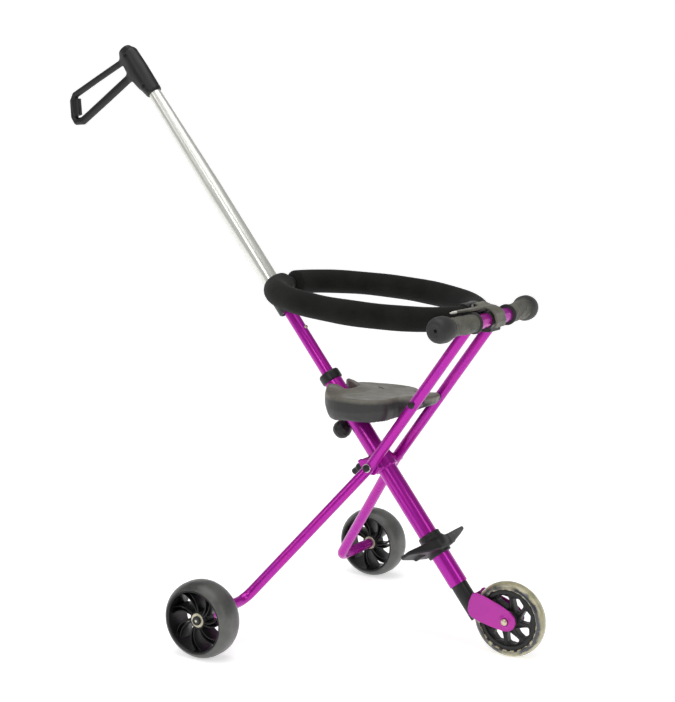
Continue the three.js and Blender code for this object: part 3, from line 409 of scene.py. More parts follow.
def turned(profile, segments, across=False, round_by=0.5, ripple=None):
    """Turned shape about local Z, or about local Y when across. ripple(angle, along) adds to a radius."""
    closed = profile[0][0] > 0
    outline = fillet(profile, round_by, closed) if round_by else [np.array(p, float) for p in profile]
    angles = np.linspace(0, 2 * math.pi, segments, endpoint=False)
    points, rows = [], []
    for radius, along in outline:
        if radius < 1e-6:
            rows.append([len(points)] * segments)
            points.append((0, 0, along))
            continue
        rows.append(list(range(len(points), len(points) + segments)))
        reach = radius + (ripple(angles, along) if ripple else 0 * angles)
        points.extend(zip(reach * np.cos(angles), reach * np.sin(angles), np.full(segments, along)))
    faces = []
    pairs = list(zip(rows, rows[1:])) + ([(rows[-1], rows[0])] if closed else [])
    for low, high in pairs:
        for k in range(segments):
            n = (k + 1) % segments
            ring = [low[k], low[n], high[n], high[k]]
            face = list(dict.fromkeys(ring))
            if len(face) > 2:
                faces.append(face)
    points = np.array(points, float)
    if across:
        points = np.stack([points[:, 0], points[:, 2], -points[:, 1]], 1)
    return points, faces


def hollow(outer, inner, low, high):
    """Profile of a tube's wall."""
    return [(inner, low), (outer, low), (outer, high), (inner, high)]


def swept(path, radius, sides, taper=None):
    """Round bar along a path, with flat ends. taper(i) scales the radius at a point."""
    path = np.asarray(path, float)
    count = len(path)
    tangents = np.roll(path, -1, 0) - np.roll(path, 1, 0)
    tangents[0], tangents[-1] = path[1] - path[0], path[-1] - path[-2]
    tangents /= np.linalg.norm(tangents, axis=1)[:, None]
    side = np.cross(tangents[0], (0, 0, 1.0))
    if np.linalg.norm(side) < 0.2:
        side = np.cross(tangents[0], (0, 1.0, 0))
    angles = np.linspace(0, 2 * math.pi, sides, endpoint=False)
    points = []
    for i in range(count):
        side = side - tangents[i] * np.dot(side, tangents[i])
        side /= np.linalg.norm(side)
        up = np.cross(tangents[i], side)
        reach = radius * (taper(i) if taper else 1)
        points.append(path[i] + reach * (np.outer(np.cos(angles), side) + np.outer(np.sin(angles), up)))
    faces = []
    for low in range(0, (count - 1) * sides, sides):
        high = low + sides
        for k in range(sides):
            n = (k + 1) % sides
            faces.append([low + k, low + n, high + n, high + k])
    faces.append(list(range(sides))[::-1])
    faces.append(list(range((count - 1) * sides, count * sides)))
    return np.concatenate(points), faces


def bent(corners, radii, step=math.radians(5)):
    """Points of a path through corners, each rounded with an arc, with close points on its straights."""
    corners = [np.array(c, float) for c in corners]
    path = [corners[0]]
    for corner, ahead, radius in zip(corners[1:-1], corners[2:], radii):
        before = corner - path[-1]
        before /= np.linalg.norm(before)
        after = (ahead - corner) / np.linalg.norm(ahead - corner)
        turn = math.acos(np.clip(np.dot(before, after), -1, 1))
        start = corner - before * radius * math.tan(turn / 2)
        inward = after - before * np.dot(after, before)
        inward /= np.linalg.norm(inward)
        centre = start + inward * radius
        for k in range(max(2, math.ceil(turn / step)) + 1):
            a = turn * k / max(2, math.ceil(turn / step))
            path.append(centre + radius * (before * math.sin(a) - inward * math.cos(a)))
    path.append(corners[-1])
    return path


# ---- shapes carved from distance fields, for what is moulded in one with soft corners
def carved(field, low, high, step):
    """The surface where field(x, y, z) is zero, as quads: negative is inside. All in millimetres."""
    ranges = [np.arange(a, b + step, step) for a, b in zip(low, high)]
    x, y, z = np.meshgrid(*ranges, indexing="ij", sparse=True)
    value = np.broadcast_to(field(x, y, z), [len(r) for r in ranges])
    inside = value < 0
    cells = tuple(n - 1 for n in value.shape)

    def corner(array, i, j, k):
        return array[i:cells[0] + i, j:cells[1] + j, k:cells[2] + k]

    corners = [(i, j, k) for i in (0, 1) for j in (0, 1) for k in (0, 1)]
    count = sum(corner(inside, *c).astype(int) for c in corners)
    active = (count > 0) & (count < 8)
    index = np.full(cells, -1)
    index[active] = np.arange(active.sum())
    total, crossings = np.zeros((active.sum(), 3)), np.zeros(active.sum())
    for a in corners:
        for axis in range(3):
            if a[axis]:
                continue
            b = tuple(1 if n == axis else c for n, c in enumerate(a))
            va, vb = corner(value, *a)[active], corner(value, *b)[active]
            crosses = (va < 0) != (vb < 0)
            share = np.where(crosses, va / np.where(crosses, va - vb, 1), 0)
            place = np.tile(np.array(a, float), (len(va), 1))
            place[:, axis] += share
            total += place * crosses[:, None]
            crossings += crosses
    cell = np.argwhere(active)
    points = np.array([r[0] for r in ranges]) + (cell + total / crossings[:, None]) * step
    faces = []
    for axis in range(3):
        u, v = [n for n in range(3) if n != axis]
        here = [slice(1, cells[n]) for n in range(3)]
        here[axis] = slice(0, cells[axis])
        ahead = list(here)
        ahead[axis] = slice(1, cells[axis] + 1)
        start, end = inside[tuple(here)], inside[tuple(ahead)]

        def shifted(du, dv):
            where = [slice(1, cells[n]) for n in range(3)]
            where[axis] = slice(0, cells[axis])
            where[u] = slice(1 - du, cells[u] - du)
            where[v] = slice(1 - dv, cells[v] - dv)
            return index[tuple(where)]

        quad = np.stack([shifted(0, 0), shifted(1, 0), shifted(1, 1), shifted(0, 1)], -1)
        faces.extend(quad[start & ~end].tolist())
        faces.extend(quad[~start & end][:, ::-1].tolist())
    return points, faces


def union(*fields):
    """Distance to whichever shape is nearest."""
    return functools.reduce(np.minimum, fields)


def melt(first, second, width):
    """Union with a fillet about as wide as width."""
    h = np.clip(0.5 + 0.5 * (second - first) / width, 0, 1)
    return second * (1 - h) + first * h - width * h * (1 - h)


def rounded_box(x, y, z, low, high, radius):
    """Distance to a box with rounded edges."""
    reach = []
    for value, a, b in zip((x, y, z), low, high):
        reach.append(np.abs(value - (a + b) / 2) - (b - a) / 2 + radius)
    out = np.sqrt(sum(np.maximum(r, 0) ** 2 for r in reach))
    return out + np.minimum(functools.reduce(np.maximum, reach), 0) - radius


def slab(flat, height, radius):
    """Extrusion with rounded edges, from a flat distance and a distance beyond its faces."""
    a, b = flat + radius, height + radius
    return np.minimum(np.maximum(a, b), 0) + np.hypot(np.maximum(a, 0), np.maximum(b, 0)) - radius


def outline_distance(u, v, points):
    """Signed distance to a closed outline in its plane, negative inside."""
    points = np.asarray(points, float)
    shape = np.broadcast(u, v).shape
    nearest = np.full(shape, 1e9)
    inside = np.zeros(shape, bool)
    for (ax, ay), (bx, by) in zip(points, np.roll(points, -1, 0)):
        ex, ey = bx - ax, by - ay
        t = np.clip(((u - ax) * ex + (v - ay) * ey) / (ex * ex + ey * ey), 0, 1)
        nearest = np.minimum(nearest, np.hypot(u - ax - t * ex, v - ay - t * ey))
        if ay != by:
            crosses = ((ay > v) != (by > v)) & (u < ax + (v - ay) * ex / ey)
            inside ^= crosses
    return np.where(inside, -nearest, nearest)


def rod_distance(u, v, along, radius, low, high, edge=1.0):
    """Distance to a round bar with rounded rims: u and v cross it."""
    return slab(np.hypot(u, v) - radius, np.abs(along - (low + high) / 2) - (high - low) / 2, edge)


def bezier(p0, p1, p2, p3, steps):
    """Points (a, b) along a cubic curve."""
    t = np.linspace(0, 1, steps + 1)[:, None]
    p0, p1, p2, p3 = (np.array(p, float) for p in (p0, p1, p2, p3))
    curve = (1 - t) ** 3 * p0 + 3 * (1 - t) ** 2 * t * p1 + 3 * (1 - t) * t * t * p2 + t ** 3 * p3
    return [tuple(p) for p in curve]


def between(value, low, high):
    """Distance beyond a band from low to high, negative within it."""
    return np.abs(value - (low + high) / 2) - (high - low) / 2


FAR = 100            # added to a cutting tool's distance where it is not to cut


def less(body, *tools):
    """Body with tools cut away."""
    return functools.reduce(lambda left, tool: np.maximum(left, -tool), tools, body)


def mirrored(shape):
    """The shape's mirror image in the plane y = 0."""
    points, faces = shape
    return np.asarray(points, float) * (1, -1, 1), [list(f)[::-1] for f in faces]


def reflected(points):
    """The other half of a symmetrical outline: the points backwards, on the other side of zero."""
    return [(a, -b) for a, b in reversed(points)]


def at(base, x, y, z):
    """A frame moved to a point given in millimetres."""
    return base @ Matrix.Translation(Vector((x, y, z)) * MM)


def across_column(station):
    """Place of a turned piece that points along the column frame's X, at a station up the column."""
    return at(COLUMN, 0, 0, station) @ Matrix.Rotation(math.pi / 2, 4, "Y")


COLUMN_FOOT_X = float(in_ground("steer")[0])
LEAN = Vector((COLUMN.col[0].x, COLUMN.col[0].z))      # local X of the column frame, in side view


def side_view(x, s):
    """Side-view coordinates in the ground frame of a point in the column frame."""
    return COLUMN_FOOT_X - LEAN.y * s + LEAN.x * x, LEAN.x * s + LEAN.y * x


# ------------------------------------------------------------------ main frame
# Stations are lengths up the column's axis from where it meets the ground. Tube radii are outer ones.
MAIN_RADIUS, MAIN_FOOT, MAIN_TOP = 15, 125, 510
COLUMN_RADIUS, COLUMN_FOOT, COLUMN_TOP = 10, 112, 720
TUBE_WALL = 1.5
BUSH_RADIUS, BUSH_BORE = 12.6, 10.3
BUTTON_STATION = 598
BEARING_RADIUS, BEARING_BORE = 11, 4.3
PIN_BORE = 2.3


def tube(radius, foot, top):
    """Profile of a frame tube."""
    return hollow(radius, radius - TUBE_WALL, foot, top)


def make_main_frame():
    build("main_tube", turned(tube(MAIN_RADIUS, MAIN_FOOT, MAIN_TOP), 96), COLUMN, "frame", "purple_tube")
    collar = [(15.3, 501), (16.8, 501), (17.3, 502.5), (17.3, 513.5), (15.8, 516.2), (10.3, 516.2),
              (10.3, 510.3), (15.3, 510.3)]
    build("headset_collar", turned(collar, 72), COLUMN, "frame", "black_plastic")


LOCK_STATION = 430
PIVOT_STATION = 348.3
FOLD_LOCK_STATION = 363.3
CHEEK = [(-2, -13), (6, -8), (8, 2), (3, 12), (-8, 17), (-14, 21), (-20, 21), (-20, 8), (-14, -8), (-8, -13)]


def make_bracket():
    s0 = PIVOT_STATION
    outer, inner = 31.9, 27.9

    def field(x, y, s):
        cheek = slab(outline_distance(x, s - s0, CHEEK), between(np.abs(y), inner, outer), 1.2)
        sleeve = rod_distance(x, y, s, 19, s0 - 12, s0 + 16, 1.5)
        bridge = rounded_box(x, y, s, (-6, -29, s0 - 10), (6, 29, s0 + 12), 2)
        web = rounded_box(x, y, s, (-20, -29, s0 + 8), (-16.6, 29, s0 + 21), 1.5)
        guide = rod_distance(y, s - FOLD_LOCK_STATION, x, 6.6, -27.3, -17, 1)
        body = melt(union(cheek, web, guide), melt(sleeve, bridge, 4), 2.5)
        return less(body, np.hypot(x, y) - 15.2, np.hypot(y, s - FOLD_LOCK_STATION) - 4.2 + FAR * (x > -16))

    shape = carved(field, (-30, -35, s0 - 16), (22, 35, s0 + 24), 0.8)
    build("pivot_bracket", shape, COLUMN, "frame", "purple_tube", sharp=50)
    cap = [(0, -57), (4.4, -57), (5.4, -55.6), (5.4, -47.4), (6.8, -45.4), (7.5, -43.4), (7.5, -36.4),
           (5, -35), (5, -28.5), (3.6, -28.5), (3.6, -19), (2.8, -17), (0, -17)]
    place = across_column(FOLD_LOCK_STATION)
    build("fold_lock_pin", turned(cap, 48, round_by=0.8), place, "fold_lock", "black_plastic")


def make_seat_lock():
    knob = [(0, -47.2), (6.5, -46.2), (11.8, -42.6), (14.5, -36.5), (14.5, -29.5), (12, -23.2), (8.4, -20),
            (6.4, -17.5), (3.5, -17.5), (3.5, -13), (2.8, -12.2), (0, -12.2)]
    place = across_column(LOCK_STATION)
    build("seat_lock_pin", turned(knob, 64, round_by=3), place, "seat_lock", "black_plastic")


FOOTREST_STATION = 197
PAD_HALF = [(-17, -18), (-12, -82), *bezier((-12, -82), (-10.5, -89), (-4, -90), (0, -90), 6)[1:],
            *bezier((0, -90), (5, -90), (10.5, -89), (11, -81), 6)[1:], (20, -18)]
PAD = PAD_HALF + reflected(PAD_HALF)


def make_footrest():
    s0 = FOOTREST_STATION

    def field(x, y, s):
        span = np.abs(y)
        top, bottom = np.interp(span, (18, 90), (4, 7)), np.interp(span, (18, 60, 90), (-14, -6, 1))
        dish = 1.3 * np.clip(1 - np.abs(x - 1) / 12, 0, 1) * np.clip((span - 22) / 8, 0, 1)
        pads = slab(outline_distance(x, y, PAD), np.maximum(s - s0 - top + dish, bottom + s0 - s), 2.4)
        lower = rod_distance(x, y, s, 19.2, s0 - 19, s0 - 6, 1.5)
        middle = rod_distance(x, y, s, 19.8, s0 - 8, s0 + 9, 2.5)
        upper = rod_distance(x, y, s, 18.2, s0 + 5, s0 + 18, 2)
        ribs = rounded_box(x, span, s, (-11, 42, s0 - 11), (3, 57, s0), 2)
        flange = rounded_box(x, span, s, (-12, 10, s0 - 12), (15, 22, s0 + 5), 3)
        body = melt(melt(pads, union(middle, flange), 5), union(lower, upper), 1.2)
        body = melt(body, ribs, 3)
        screw = np.hypot(y, s - (s0 - 11)) - 3.6 + FAR * (x > -17.5)
        return less(body, np.hypot(x, y) - 15.25, screw)

    shape = carved(field, (-24, -92, s0 - 22), (24, 92, s0 + 21), 0.9)
    build("footrest", shape, COLUMN, "frame", "black_plastic", sharp=55)
    screw = [(0, -21.6), (2.4, -21.6), (3.4, -20.9), (3.4, -20.2), (2.2, -20.2), (2.2, -15.6), (0, -15.6)]
    place = across_column(s0 - 11)
    build("footrest_screw", turned(screw, 32, round_by=0.3), place, "frame", "steel")


# ------------------------------------------------------------------ steering column and fork
def make_column():
    build("column_tube", turned(tube(COLUMN_RADIUS, COLUMN_FOOT, COLUMN_TOP), 72), COLUMN, "steering",
          "purple_tube")
    build("column_bush", turned(hollow(BUSH_RADIUS, BUSH_BORE, 700, 715), 48), COLUMN, "steering",
          "black_plastic")
    button = [(0, 3.5), (4.6, 3.5), (4.6, 6.2), (3.2, 6.2), (3.2, 11), (2.6, 12.4), (0, 12.6)]
    place = across_column(BUTTON_STATION)
    build("snap_button", turned(button, 40, round_by=0.6), place, "button", "brass")


FORK = [(338, 96), (356, 92.5), (384, 82.5), (401, 74.5), (409, 67), (411, 58), (408, 49.5), (401, 44),
        (392, 42.5), (369, 46), (345, 52), (333, 57), (329.4, 66), (331.4, 80)]
FORK_HOLLOW = [(341.5, 130), (335, 80), (332.8, 67), (333.8, 60), (336.5, 20), (440, 20), (440, 130)]
BEHIND_BRIDGE = [(338.3, 110), (331, 80), (328, 62), (330.4, 51), (334, 20), (420, 20), (420, 110)]


def softened(outline, radius):
    """A closed outline with its corners rounded."""
    return fillet(outline, radius, True, 5)


def make_fork():
    ax, _, az = FRONT_AXLE

    def field(x, y, z):
        shell = slab(outline_distance(x, z, softened(FORK, 7)), np.abs(y) - 17.6, 1.6)
        inside = slab(outline_distance(x, z, FORK_HOLLOW), np.abs(y) - 14, 1.2)
        radius = np.hypot(x - ax, z - az)
        boss = slab(radius - 9.6, between(np.abs(y), 14.5, 19.6), 2.4)
        dimple = np.maximum(radius - 6, 18.4 - np.abs(y))
        return less(melt(less(shell, inside), boss, 1.2), radius - 4.3, dimple)

    shape = carved(field, (325, -21, 38), (414, 21, 100), 0.9)
    build("fork", shape, GROUND, "steering", "fork_paint", sharp=55)

    def neck(x, y, s):
        wall = less(rod_distance(x, y, s, 13.2, 60, 165, 0.6), np.hypot(x, y) - 10.3)
        return less(wall, outline_distance(*side_view(x, s), BEHIND_BRIDGE))

    shape = carved(neck, (-16, -16, 57), (16, 16, 168), 0.9)
    build("steerer_neck", shape, COLUMN, "steering", "black_plastic", sharp=40)
    reach = 19.9
    bolt = [(0, -reach - 3.6), (3.0, -reach - 3.5), (5.2, -reach - 1.8), (5.4, -reach), (4, -reach),
            (4, reach + 5), (0, reach + 5)]
    axle = at(GROUND, ax, 0, az)
    build("front_axle_bolt", turned(bolt, 48, True, 0.6), axle, "steering", "brass")

    def nut(x, y, z):
        turns = [np.abs(x * math.cos(a) + z * math.sin(a)) - 5.7 for a in (0, math.pi / 3, 2 * math.pi / 3)]
        hexagon = slab(functools.reduce(np.maximum, turns), between(y, reach, reach + 4.4), 0.4)
        return less(hexagon, np.hypot(x, z) - 4.3)

    shape = carved(nut, (-8, reach - 1, -8), (8, reach + 6, 8), 0.4)
    build("front_axle_nut", shape, axle, "steering", "steel", sharp=40)


# ------------------------------------------------------------------ push handle
def make_handle_tube():
    profile = [(12.9, 638), (13.8, 638), (13.8, 880), (10.6, 1066), (10.6, 1140), (9.7, 1140), (9.7, 1066),
               (12.9, 880)]
    build("handle_tube", turned(profile, 96, round_by=0.4), COLUMN, "push_handle", "silver_tube")
    build("handle_bush", turned(hollow(BUSH_RADIUS, BUSH_BORE, 640, 654), 48), COLUMN, "push_handle",
          "black_plastic")


BARREL_STATIONS = (1071, 1076, 1095, 1120, 1145, 1160, 1169)
BARREL_DEPTH = (12.0, 12.7, 16.5, 19.5, 17.8, 15.2, 11)
BARREL_WIDTH = (12.0, 12.3, 12.5, 12.5, 11.5, 11, 8)
BARREL_CENTRE = (-0.4, -0.8, -4, -6.2, -6, -5.7, -5.5)
LOOP_LINE = [(-12, 1151.5, 5.4), (-27, 1153.6, 5.2), (-82.6, 1163.6, 5.2), (-138, 1173, 5.4),
             (-148.5, 1168, 5.6), (-163.5, 1146, 5.6), (-164, 1136, 6), (-152, 1128.8, 6.8),
             (-92.4, 1125.9, 7), (-32.2, 1123.3, 7), (-12, 1122, 7.4)]
REST_PAD = [(-137, 1165), (-152.5, 1141.5), (-160, 1144), (-147, 1169)]
HANDLE_SCREWS = (("upper", -3, 1151, 7), ("lower", -3.7, 1088.5, -10.4))   # label, x, station, tip


def make_handle():
    def whole(x, y, s):
        depth, width, centre = (np.interp(s, BARREL_STATIONS, values)
                                for values in (BARREL_DEPTH, BARREL_WIDTH, BARREL_CENTRE))
        outer = slab((np.hypot((x - centre) / depth, y / width) - 1) * width, between(s, 1071, 1169), 4)
        barrel = melt(outer, rod_distance(x, y, s, 12.4, 1071, 1158, 5), 6)
        loop = 1e3
        for (ax, az, ar), (bx, bz, br) in zip(LOOP_LINE, LOOP_LINE[1:]):
            ex, ez = bx - ax, bz - az
            t = np.clip(((x - ax) * ex + (s - az) * ez) / (ex * ex + ez * ez), 0, 1)
            flat = np.hypot(x - ax - t * ex, s - az - t * ez)
            radius = ar + t * (br - ar)
            loop = np.minimum(loop, np.hypot(flat, y * radius / 6.4) - radius)
        rest = slab(outline_distance(x, s, REST_PAD), np.abs(y) - 8, 1.2)
        return melt(melt(loop, rest, 1.5), barrel, 5)

    def half(sign):
        def field(x, y, s):
            body = less(whole(x, y, s), np.hypot(x, y) - 10.9 + FAR * (s > 1140.3))
            seam = np.maximum(0.25 - sign * y, -sign * y - 1)
            screws = [np.hypot(x - px, s - ps) - 3.8 + FAR * (y > -11.6) for _, px, ps, _ in HANDLE_SCREWS]
            return less(np.maximum(body, seam), *screws)

        low, high = ((-175, -1.2, 1068), (19, 18, 1182)) if sign > 0 else ((-175, -18, 1068), (19, 1.2, 1182))
        return carved(field, low, high, 0.95)

    build("handle_shell_left", half(1), COLUMN, "push_handle", "black_plastic", sharp=55)
    build("handle_shell_right", half(-1), COLUMN, "push_handle", "black_plastic", sharp=55)
    for label, x, s, tip in HANDLE_SCREWS:
        screw = [(0, -12.4), (2.2, -12.4), (3.2, -12), (3.2, -11.4), (1.6, -11.4), (1.6, tip), (0, tip)]
        build(f"handle_screw_{label}", turned(screw, 32, True, 0.3), at(COLUMN, x, 0, s), "push_handle",
              "blackened")


# ------------------------------------------------------------------ legs and handlebar
BAR = np.array((352, 0, 517.0))
LEG_SPACING, LEG_RADIUS = 41, 8.5
LEG_TOP = np.array((342.2, 0, 516.4))
REAR_AXLE_Z = REAR_AXLE.z / MM


def make_legs():
    rise = (LEG_TOP - PIVOT) * (1, 0, 1)
    top = PIVOT + rise * 1.012 + (0, LEG_SPACING, 0)
    corners = [top, PIVOT + rise * 0.55 + (0, LEG_SPACING, 0), (PIVOT[0], LEG_SPACING, PIVOT[2]),
               (0, 143, REAR_AXLE_Z), (0, 238, REAR_AXLE_Z)]
    path = [corners[0]] + list(bent(corners[1:], (40, 26), math.radians(4)))
    left = swept(path, LEG_RADIUS, 48)
    build("leg_left", left, GROUND, "legs", "purple_bent")
    build("leg_right", mirrored(left), GROUND, "legs", "purple_bent")


BAR_STRAIGHT, BAR_END, BAR_SLOPE = 45, 147, 10 / 94       # half lengths, and how much its ends sweep back
SWEEP = math.atan(BAR_SLOPE)
GRIP_BODY = [(13.4, 10), (14, 27), (13.8, 57), (14.6, 71), (17.6, 79)]


def grip_shape():
    """Grip with a flange at its inner end, slanted ridges round its body and a ball end with a dimple."""
    along = np.linspace(11.5, 76, 110)
    radii = np.interp(along, [a for _, a in GRIP_BODY], [r for r, _ in GRIP_BODY])
    flange = [(11.3, 7), (15.4, 7), (16.2, 8), (16.2, 10), (15.4, 11), (13.6, 11.4)]
    ball = fillet([(14.6, 76), (17.6, 79), (19.8, 88), (19.6, 98), (17.8, 105), (14.4, 109.2), (9, 110),
                   (7.6, 108.6), (2.6, 108.4), (2.2, 104), (0, 104)], 3, False, 6)
    outline = [(0, 7), *flange, *[(r - 0.2, a) for r, a in zip(radii, along)], *[tuple(p) for p in ball]]

    def ridges(angles, along):
        inside = np.clip((along - 13) / 3, 0, 1) * np.clip((74 - along) / 3, 0, 1)
        rows = np.clip(2.2 * np.sin(angles * 7 + along * 0.16) - 0.5, 0, 1)
        breaks = np.clip(3 * np.sin(along * 2 * math.pi / 15.5 + np.floor((angles * 7 + along * 0.16) /
                         (2 * math.pi)) * 2.4) + 2.2, 0, 1)
        return 0.85 * inside * rows * breaks

    return turned(outline, 160, True, 0, ridges)


def make_handlebar():
    swept_back = BAR[0] - BAR_SLOPE * (BAR_END - BAR_STRAIGHT)
    corners = [(swept_back, -BAR_END), (BAR[0], -BAR_STRAIGHT), (BAR[0], BAR_STRAIGHT), (swept_back, BAR_END)]
    path = bent([(x, y, BAR[2]) for x, y in corners], (60, 60))
    build("handlebar", swept(path, 11, 48), GROUND, "legs", "purple_bent")

    def clamp(x, y, z):
        ring = slab(np.hypot(x, z) - 12.8, np.abs(y) - 18, 1.2)
        lug = rounded_box(x, y, z, (-8, -18, -18), (8, 18, 0), 2)
        return less(melt(ring, lug, 2.5), np.hypot(x, z) - 11.2)

    shape = carved(clamp, (-15, -20, -20), (15, 20, 15), 0.8)
    build("bar_clamp", shape, at(GROUND, *BAR), "legs", "black_plastic", sharp=55)
    shape = grip_shape()
    for side, sign in (("left", 1), ("right", -1)):
        place = at(GROUND, BAR[0], sign * BAR_STRAIGHT, BAR[2]) @ Matrix.Rotation(sign * SWEEP, 4, "Z")
        grip = shape if sign > 0 else mirrored(shape)
        build(f"grip_{side}", grip, place, "legs", "grip_rubber", sharp=50)


def make_fasteners():
    face = LEG_SPACING + LEG_RADIUS
    washer = [(0, 20), (3.9, 20), (3.9, face + 0.3), (7, face + 0.3), (7, face + 2.6), (0, face + 2.6)]
    cap = [(0, 2.9), (5.6, 2.9), (5.6, 4.9), (4, 6.8), (0, 7.4)]
    axle = [(0, 226), (4, 226), (4, 267.2), (7.1, 267.2), (7.1, 269.6), (6.2, 271.2), (3.2, 271.6),
            (2.8, 270.6), (0, 270.6)]
    spacer = hollow(6.6, 4.2, 22.3, 32.2)
    pivot, seat_bolt = at(GROUND, PIVOT[0], 0, PIVOT[2]), at(GROUND, SEAT_BOLT[0], 0, SEAT_BOLT[2])
    for side, flip in (("left", lambda shape: shape), ("right", mirrored)):
        build(f"pivot_bolt_{side}", flip(turned(washer, 48, True, 0.4)), pivot, "frame", "steel")
        pivot_cap = [(r, a + face) for r, a in cap]
        build(f"pivot_cap_{side}", flip(turned(pivot_cap, 48, True, 1)), pivot, "frame", "black_plastic")
        seat_cap = [(r, a + face - 2.4) for r, a in cap]
        build(f"seat_bolt_cap_{side}", flip(turned(seat_cap, 48, True, 1)), seat_bolt, "legs",
              "black_plastic")
        build(f"seat_spacer_{side}", flip(turned(spacer, 48, True, 0.5)), seat_bolt, "legs", "black_plastic")
        stub = at(GROUND, 0, 0, REAR_AXLE_Z)
        build(f"rear_axle_bolt_{side}", flip(turned(axle, 48, True, 0.5)), stub, "legs", "bolt_head")
    rod = [(0, -face - 0.2), (3.9, -face - 0.2), (3.9, face + 0.2), (0, face + 0.2)]
    build("seat_bolt", turned(rod, 40, True, 0.3), seat_bolt, "legs", "steel")


# ------------------------------------------------------------------ seat
NOTCH_SIDE = [(84, 23.5), (90, 20.3), (100, 19.5), (108, 19), (112, 12), (113.6, 0)]
NOTCH = [(60, 24), *NOTCH_SIDE, *reflected(NOTCH_SIDE[:-1]), (60, -24)]


def seat_plan():
    """Half of the seat's plan from the nose to the notch, then its mirror image."""
    half = [(263.5, 0), (262, 12), (258, 18.5), (252, 22), (216, 22), (209, 26), (205.5, 33), (204, 42),
            *bezier((204, 42), (202, 66), (182, 76), (150, 76), 12)[1:],
            *bezier((150, 76), (118, 76), (96, 66), (86, 42), 12)[1:],
            *bezier((86, 42), (82, 34), (80, 27), NOTCH_SIDE[0], 4)[1:], *NOTCH_SIDE[1:]]
    return half + reflected(half[1:-1])


SEAT_UNDER = [(78, 368), (84, 363), (92, 354), (104, 345.5), (118, 342.6), (160, 342.6), (182, 345),
              (205, 353.5), (226, 364), (245, 372.5), (266, 379)]
SEAT_UPPER = [(80, 389), (98, 387.5), (118, 386), (200, 386), (220, 388), (236, 391), (250, 392), (270, 390)]
SEAT_LIP = [(0, 8.6), (7, 7.4), (14, 3.4), (24, 0)]           # rise of the rim by distance from the notch


def make_seat():
    plan = seat_plan()

    def field(x, y, z):
        flat = outline_distance(x, y, plan)
        top = np.interp(x, *zip(*SEAT_UPPER))
        wide = np.clip(np.abs(y) / 70, 0, 1)
        lip = np.interp(outline_distance(x, y, NOTCH), *zip(*SEAT_LIP))
        top = top + lip * np.interp(x, (96, 110), (1, 0.4))
        top = top - 1.6 * np.clip((x - 118) / 40, 0, 1) * np.clip((205 - x) / 30, 0, 1) * (1 - wide ** 2)
        bottom = np.interp(x, *zip(*SEAT_UNDER)) + 9 * np.clip((wide - 0.55) / 0.5, 0, 1) ** 2
        bottom = bottom + 11 * np.clip(1 + flat / 9, 0, 1) ** 2
        body = slab(flat, np.maximum(z - top, bottom - z), 4.6)
        room = slab(flat + 7.5, np.maximum(z - 381, 320 - z), 3)
        room = np.maximum(room, 116 - x)
        room = np.maximum(room, x - 204)
        ribs = union(np.abs(y) - 1.2, np.abs(x - 160) - 1.2, np.abs(np.abs(y) - 34) - 1.2)
        room = np.maximum(room, -np.maximum(ribs, 362 - z))
        slots = []
        for sign in (-1, 1):
            along = (x - 142) * math.cos(0.5) - sign * (y - sign * 36) * math.sin(0.5)
            across = (x - 142) * math.sin(0.5) + sign * (y - sign * 36) * math.cos(0.5)
            slots.append(np.maximum(np.abs(along) - 8, np.abs(across) - 1.7))
        bolt = np.hypot(x - SEAT_BOLT[0], z - SEAT_BOLT[2]) - 4.2
        lean = LEAN.x * (x - COLUMN_FOOT_X) + LEAN.y * z
        passage = np.hypot(lean, y) - 18.6
        return less(body, room, bolt, passage, *slots)

    shape = carved(field, (76, -80, 338), (268, 80, 400), 1.0)
    build("seat_pan", shape, GROUND, "seat", "seat_plastic", sharp=60)


# ------------------------------------------------------------------ safety ring
RING_HALF_LENGTH, RING_HALF_WIDTH, FOAM_RADIUS = 164, 135, 19


def ring_path(start, count):
    angles = np.linspace(start, 2 * math.pi - start, count)
    ahead, aside = RING_HALF_LENGTH * (1 - np.cos(angles)), RING_HALF_WIDTH * np.sin(angles)
    return np.stack([ahead, aside, 0 * angles], 1)


def make_ring():
    path = ring_path(math.asin(11 / RING_HALF_WIDTH), 221)
    lengths = np.concatenate([[0], np.cumsum(np.linalg.norm(np.diff(path, axis=0), axis=1))])
    from_end = np.minimum(lengths, lengths[-1] - lengths)
    wander = 0.25 * np.sin(lengths / 31) + 0.2 * np.sin(lengths / 13 + 1)

    def girth(i):
        end = np.clip(from_end[i] / 7, 0, 1)
        return (0.55 + 0.45 * end ** 0.8) * (1 + wander[i] / FOAM_RADIUS)

    padding = swept(path, FOAM_RADIUS, 56, girth)
    foam = build("ring_foam", padding, RING, "ring", "foam", 50, name="ring_foam_padding")
    build("ring_hoop", swept(ring_path(0.004, 240), 5.5, 28), RING, "ring", "steel")


def make_sleeve():
    ahead, s0 = 25.1, 672.5

    def field(x, y, s):
        barrel = rod_distance(x, y, s, 17.6, 635, 690, 3)
        eye = rod_distance(x - ahead, s - s0, y, 10.5, -9, 9, 2)
        neck = rounded_box(x, y, s, (10, -9, s0 - 9), (ahead, 9, s0 + 9), 2)
        body = melt(barrel, union(eye, neck), 4)
        return less(body, np.hypot(x, y) - 14.1, np.hypot(x - ahead, s - s0) - 6.4)

    shape = carved(field, (-20, -20, 632), (38, 20, 693), 0.9)
    build("ring_sleeve", shape, COLUMN, "frame", "black_plastic", sharp=55)


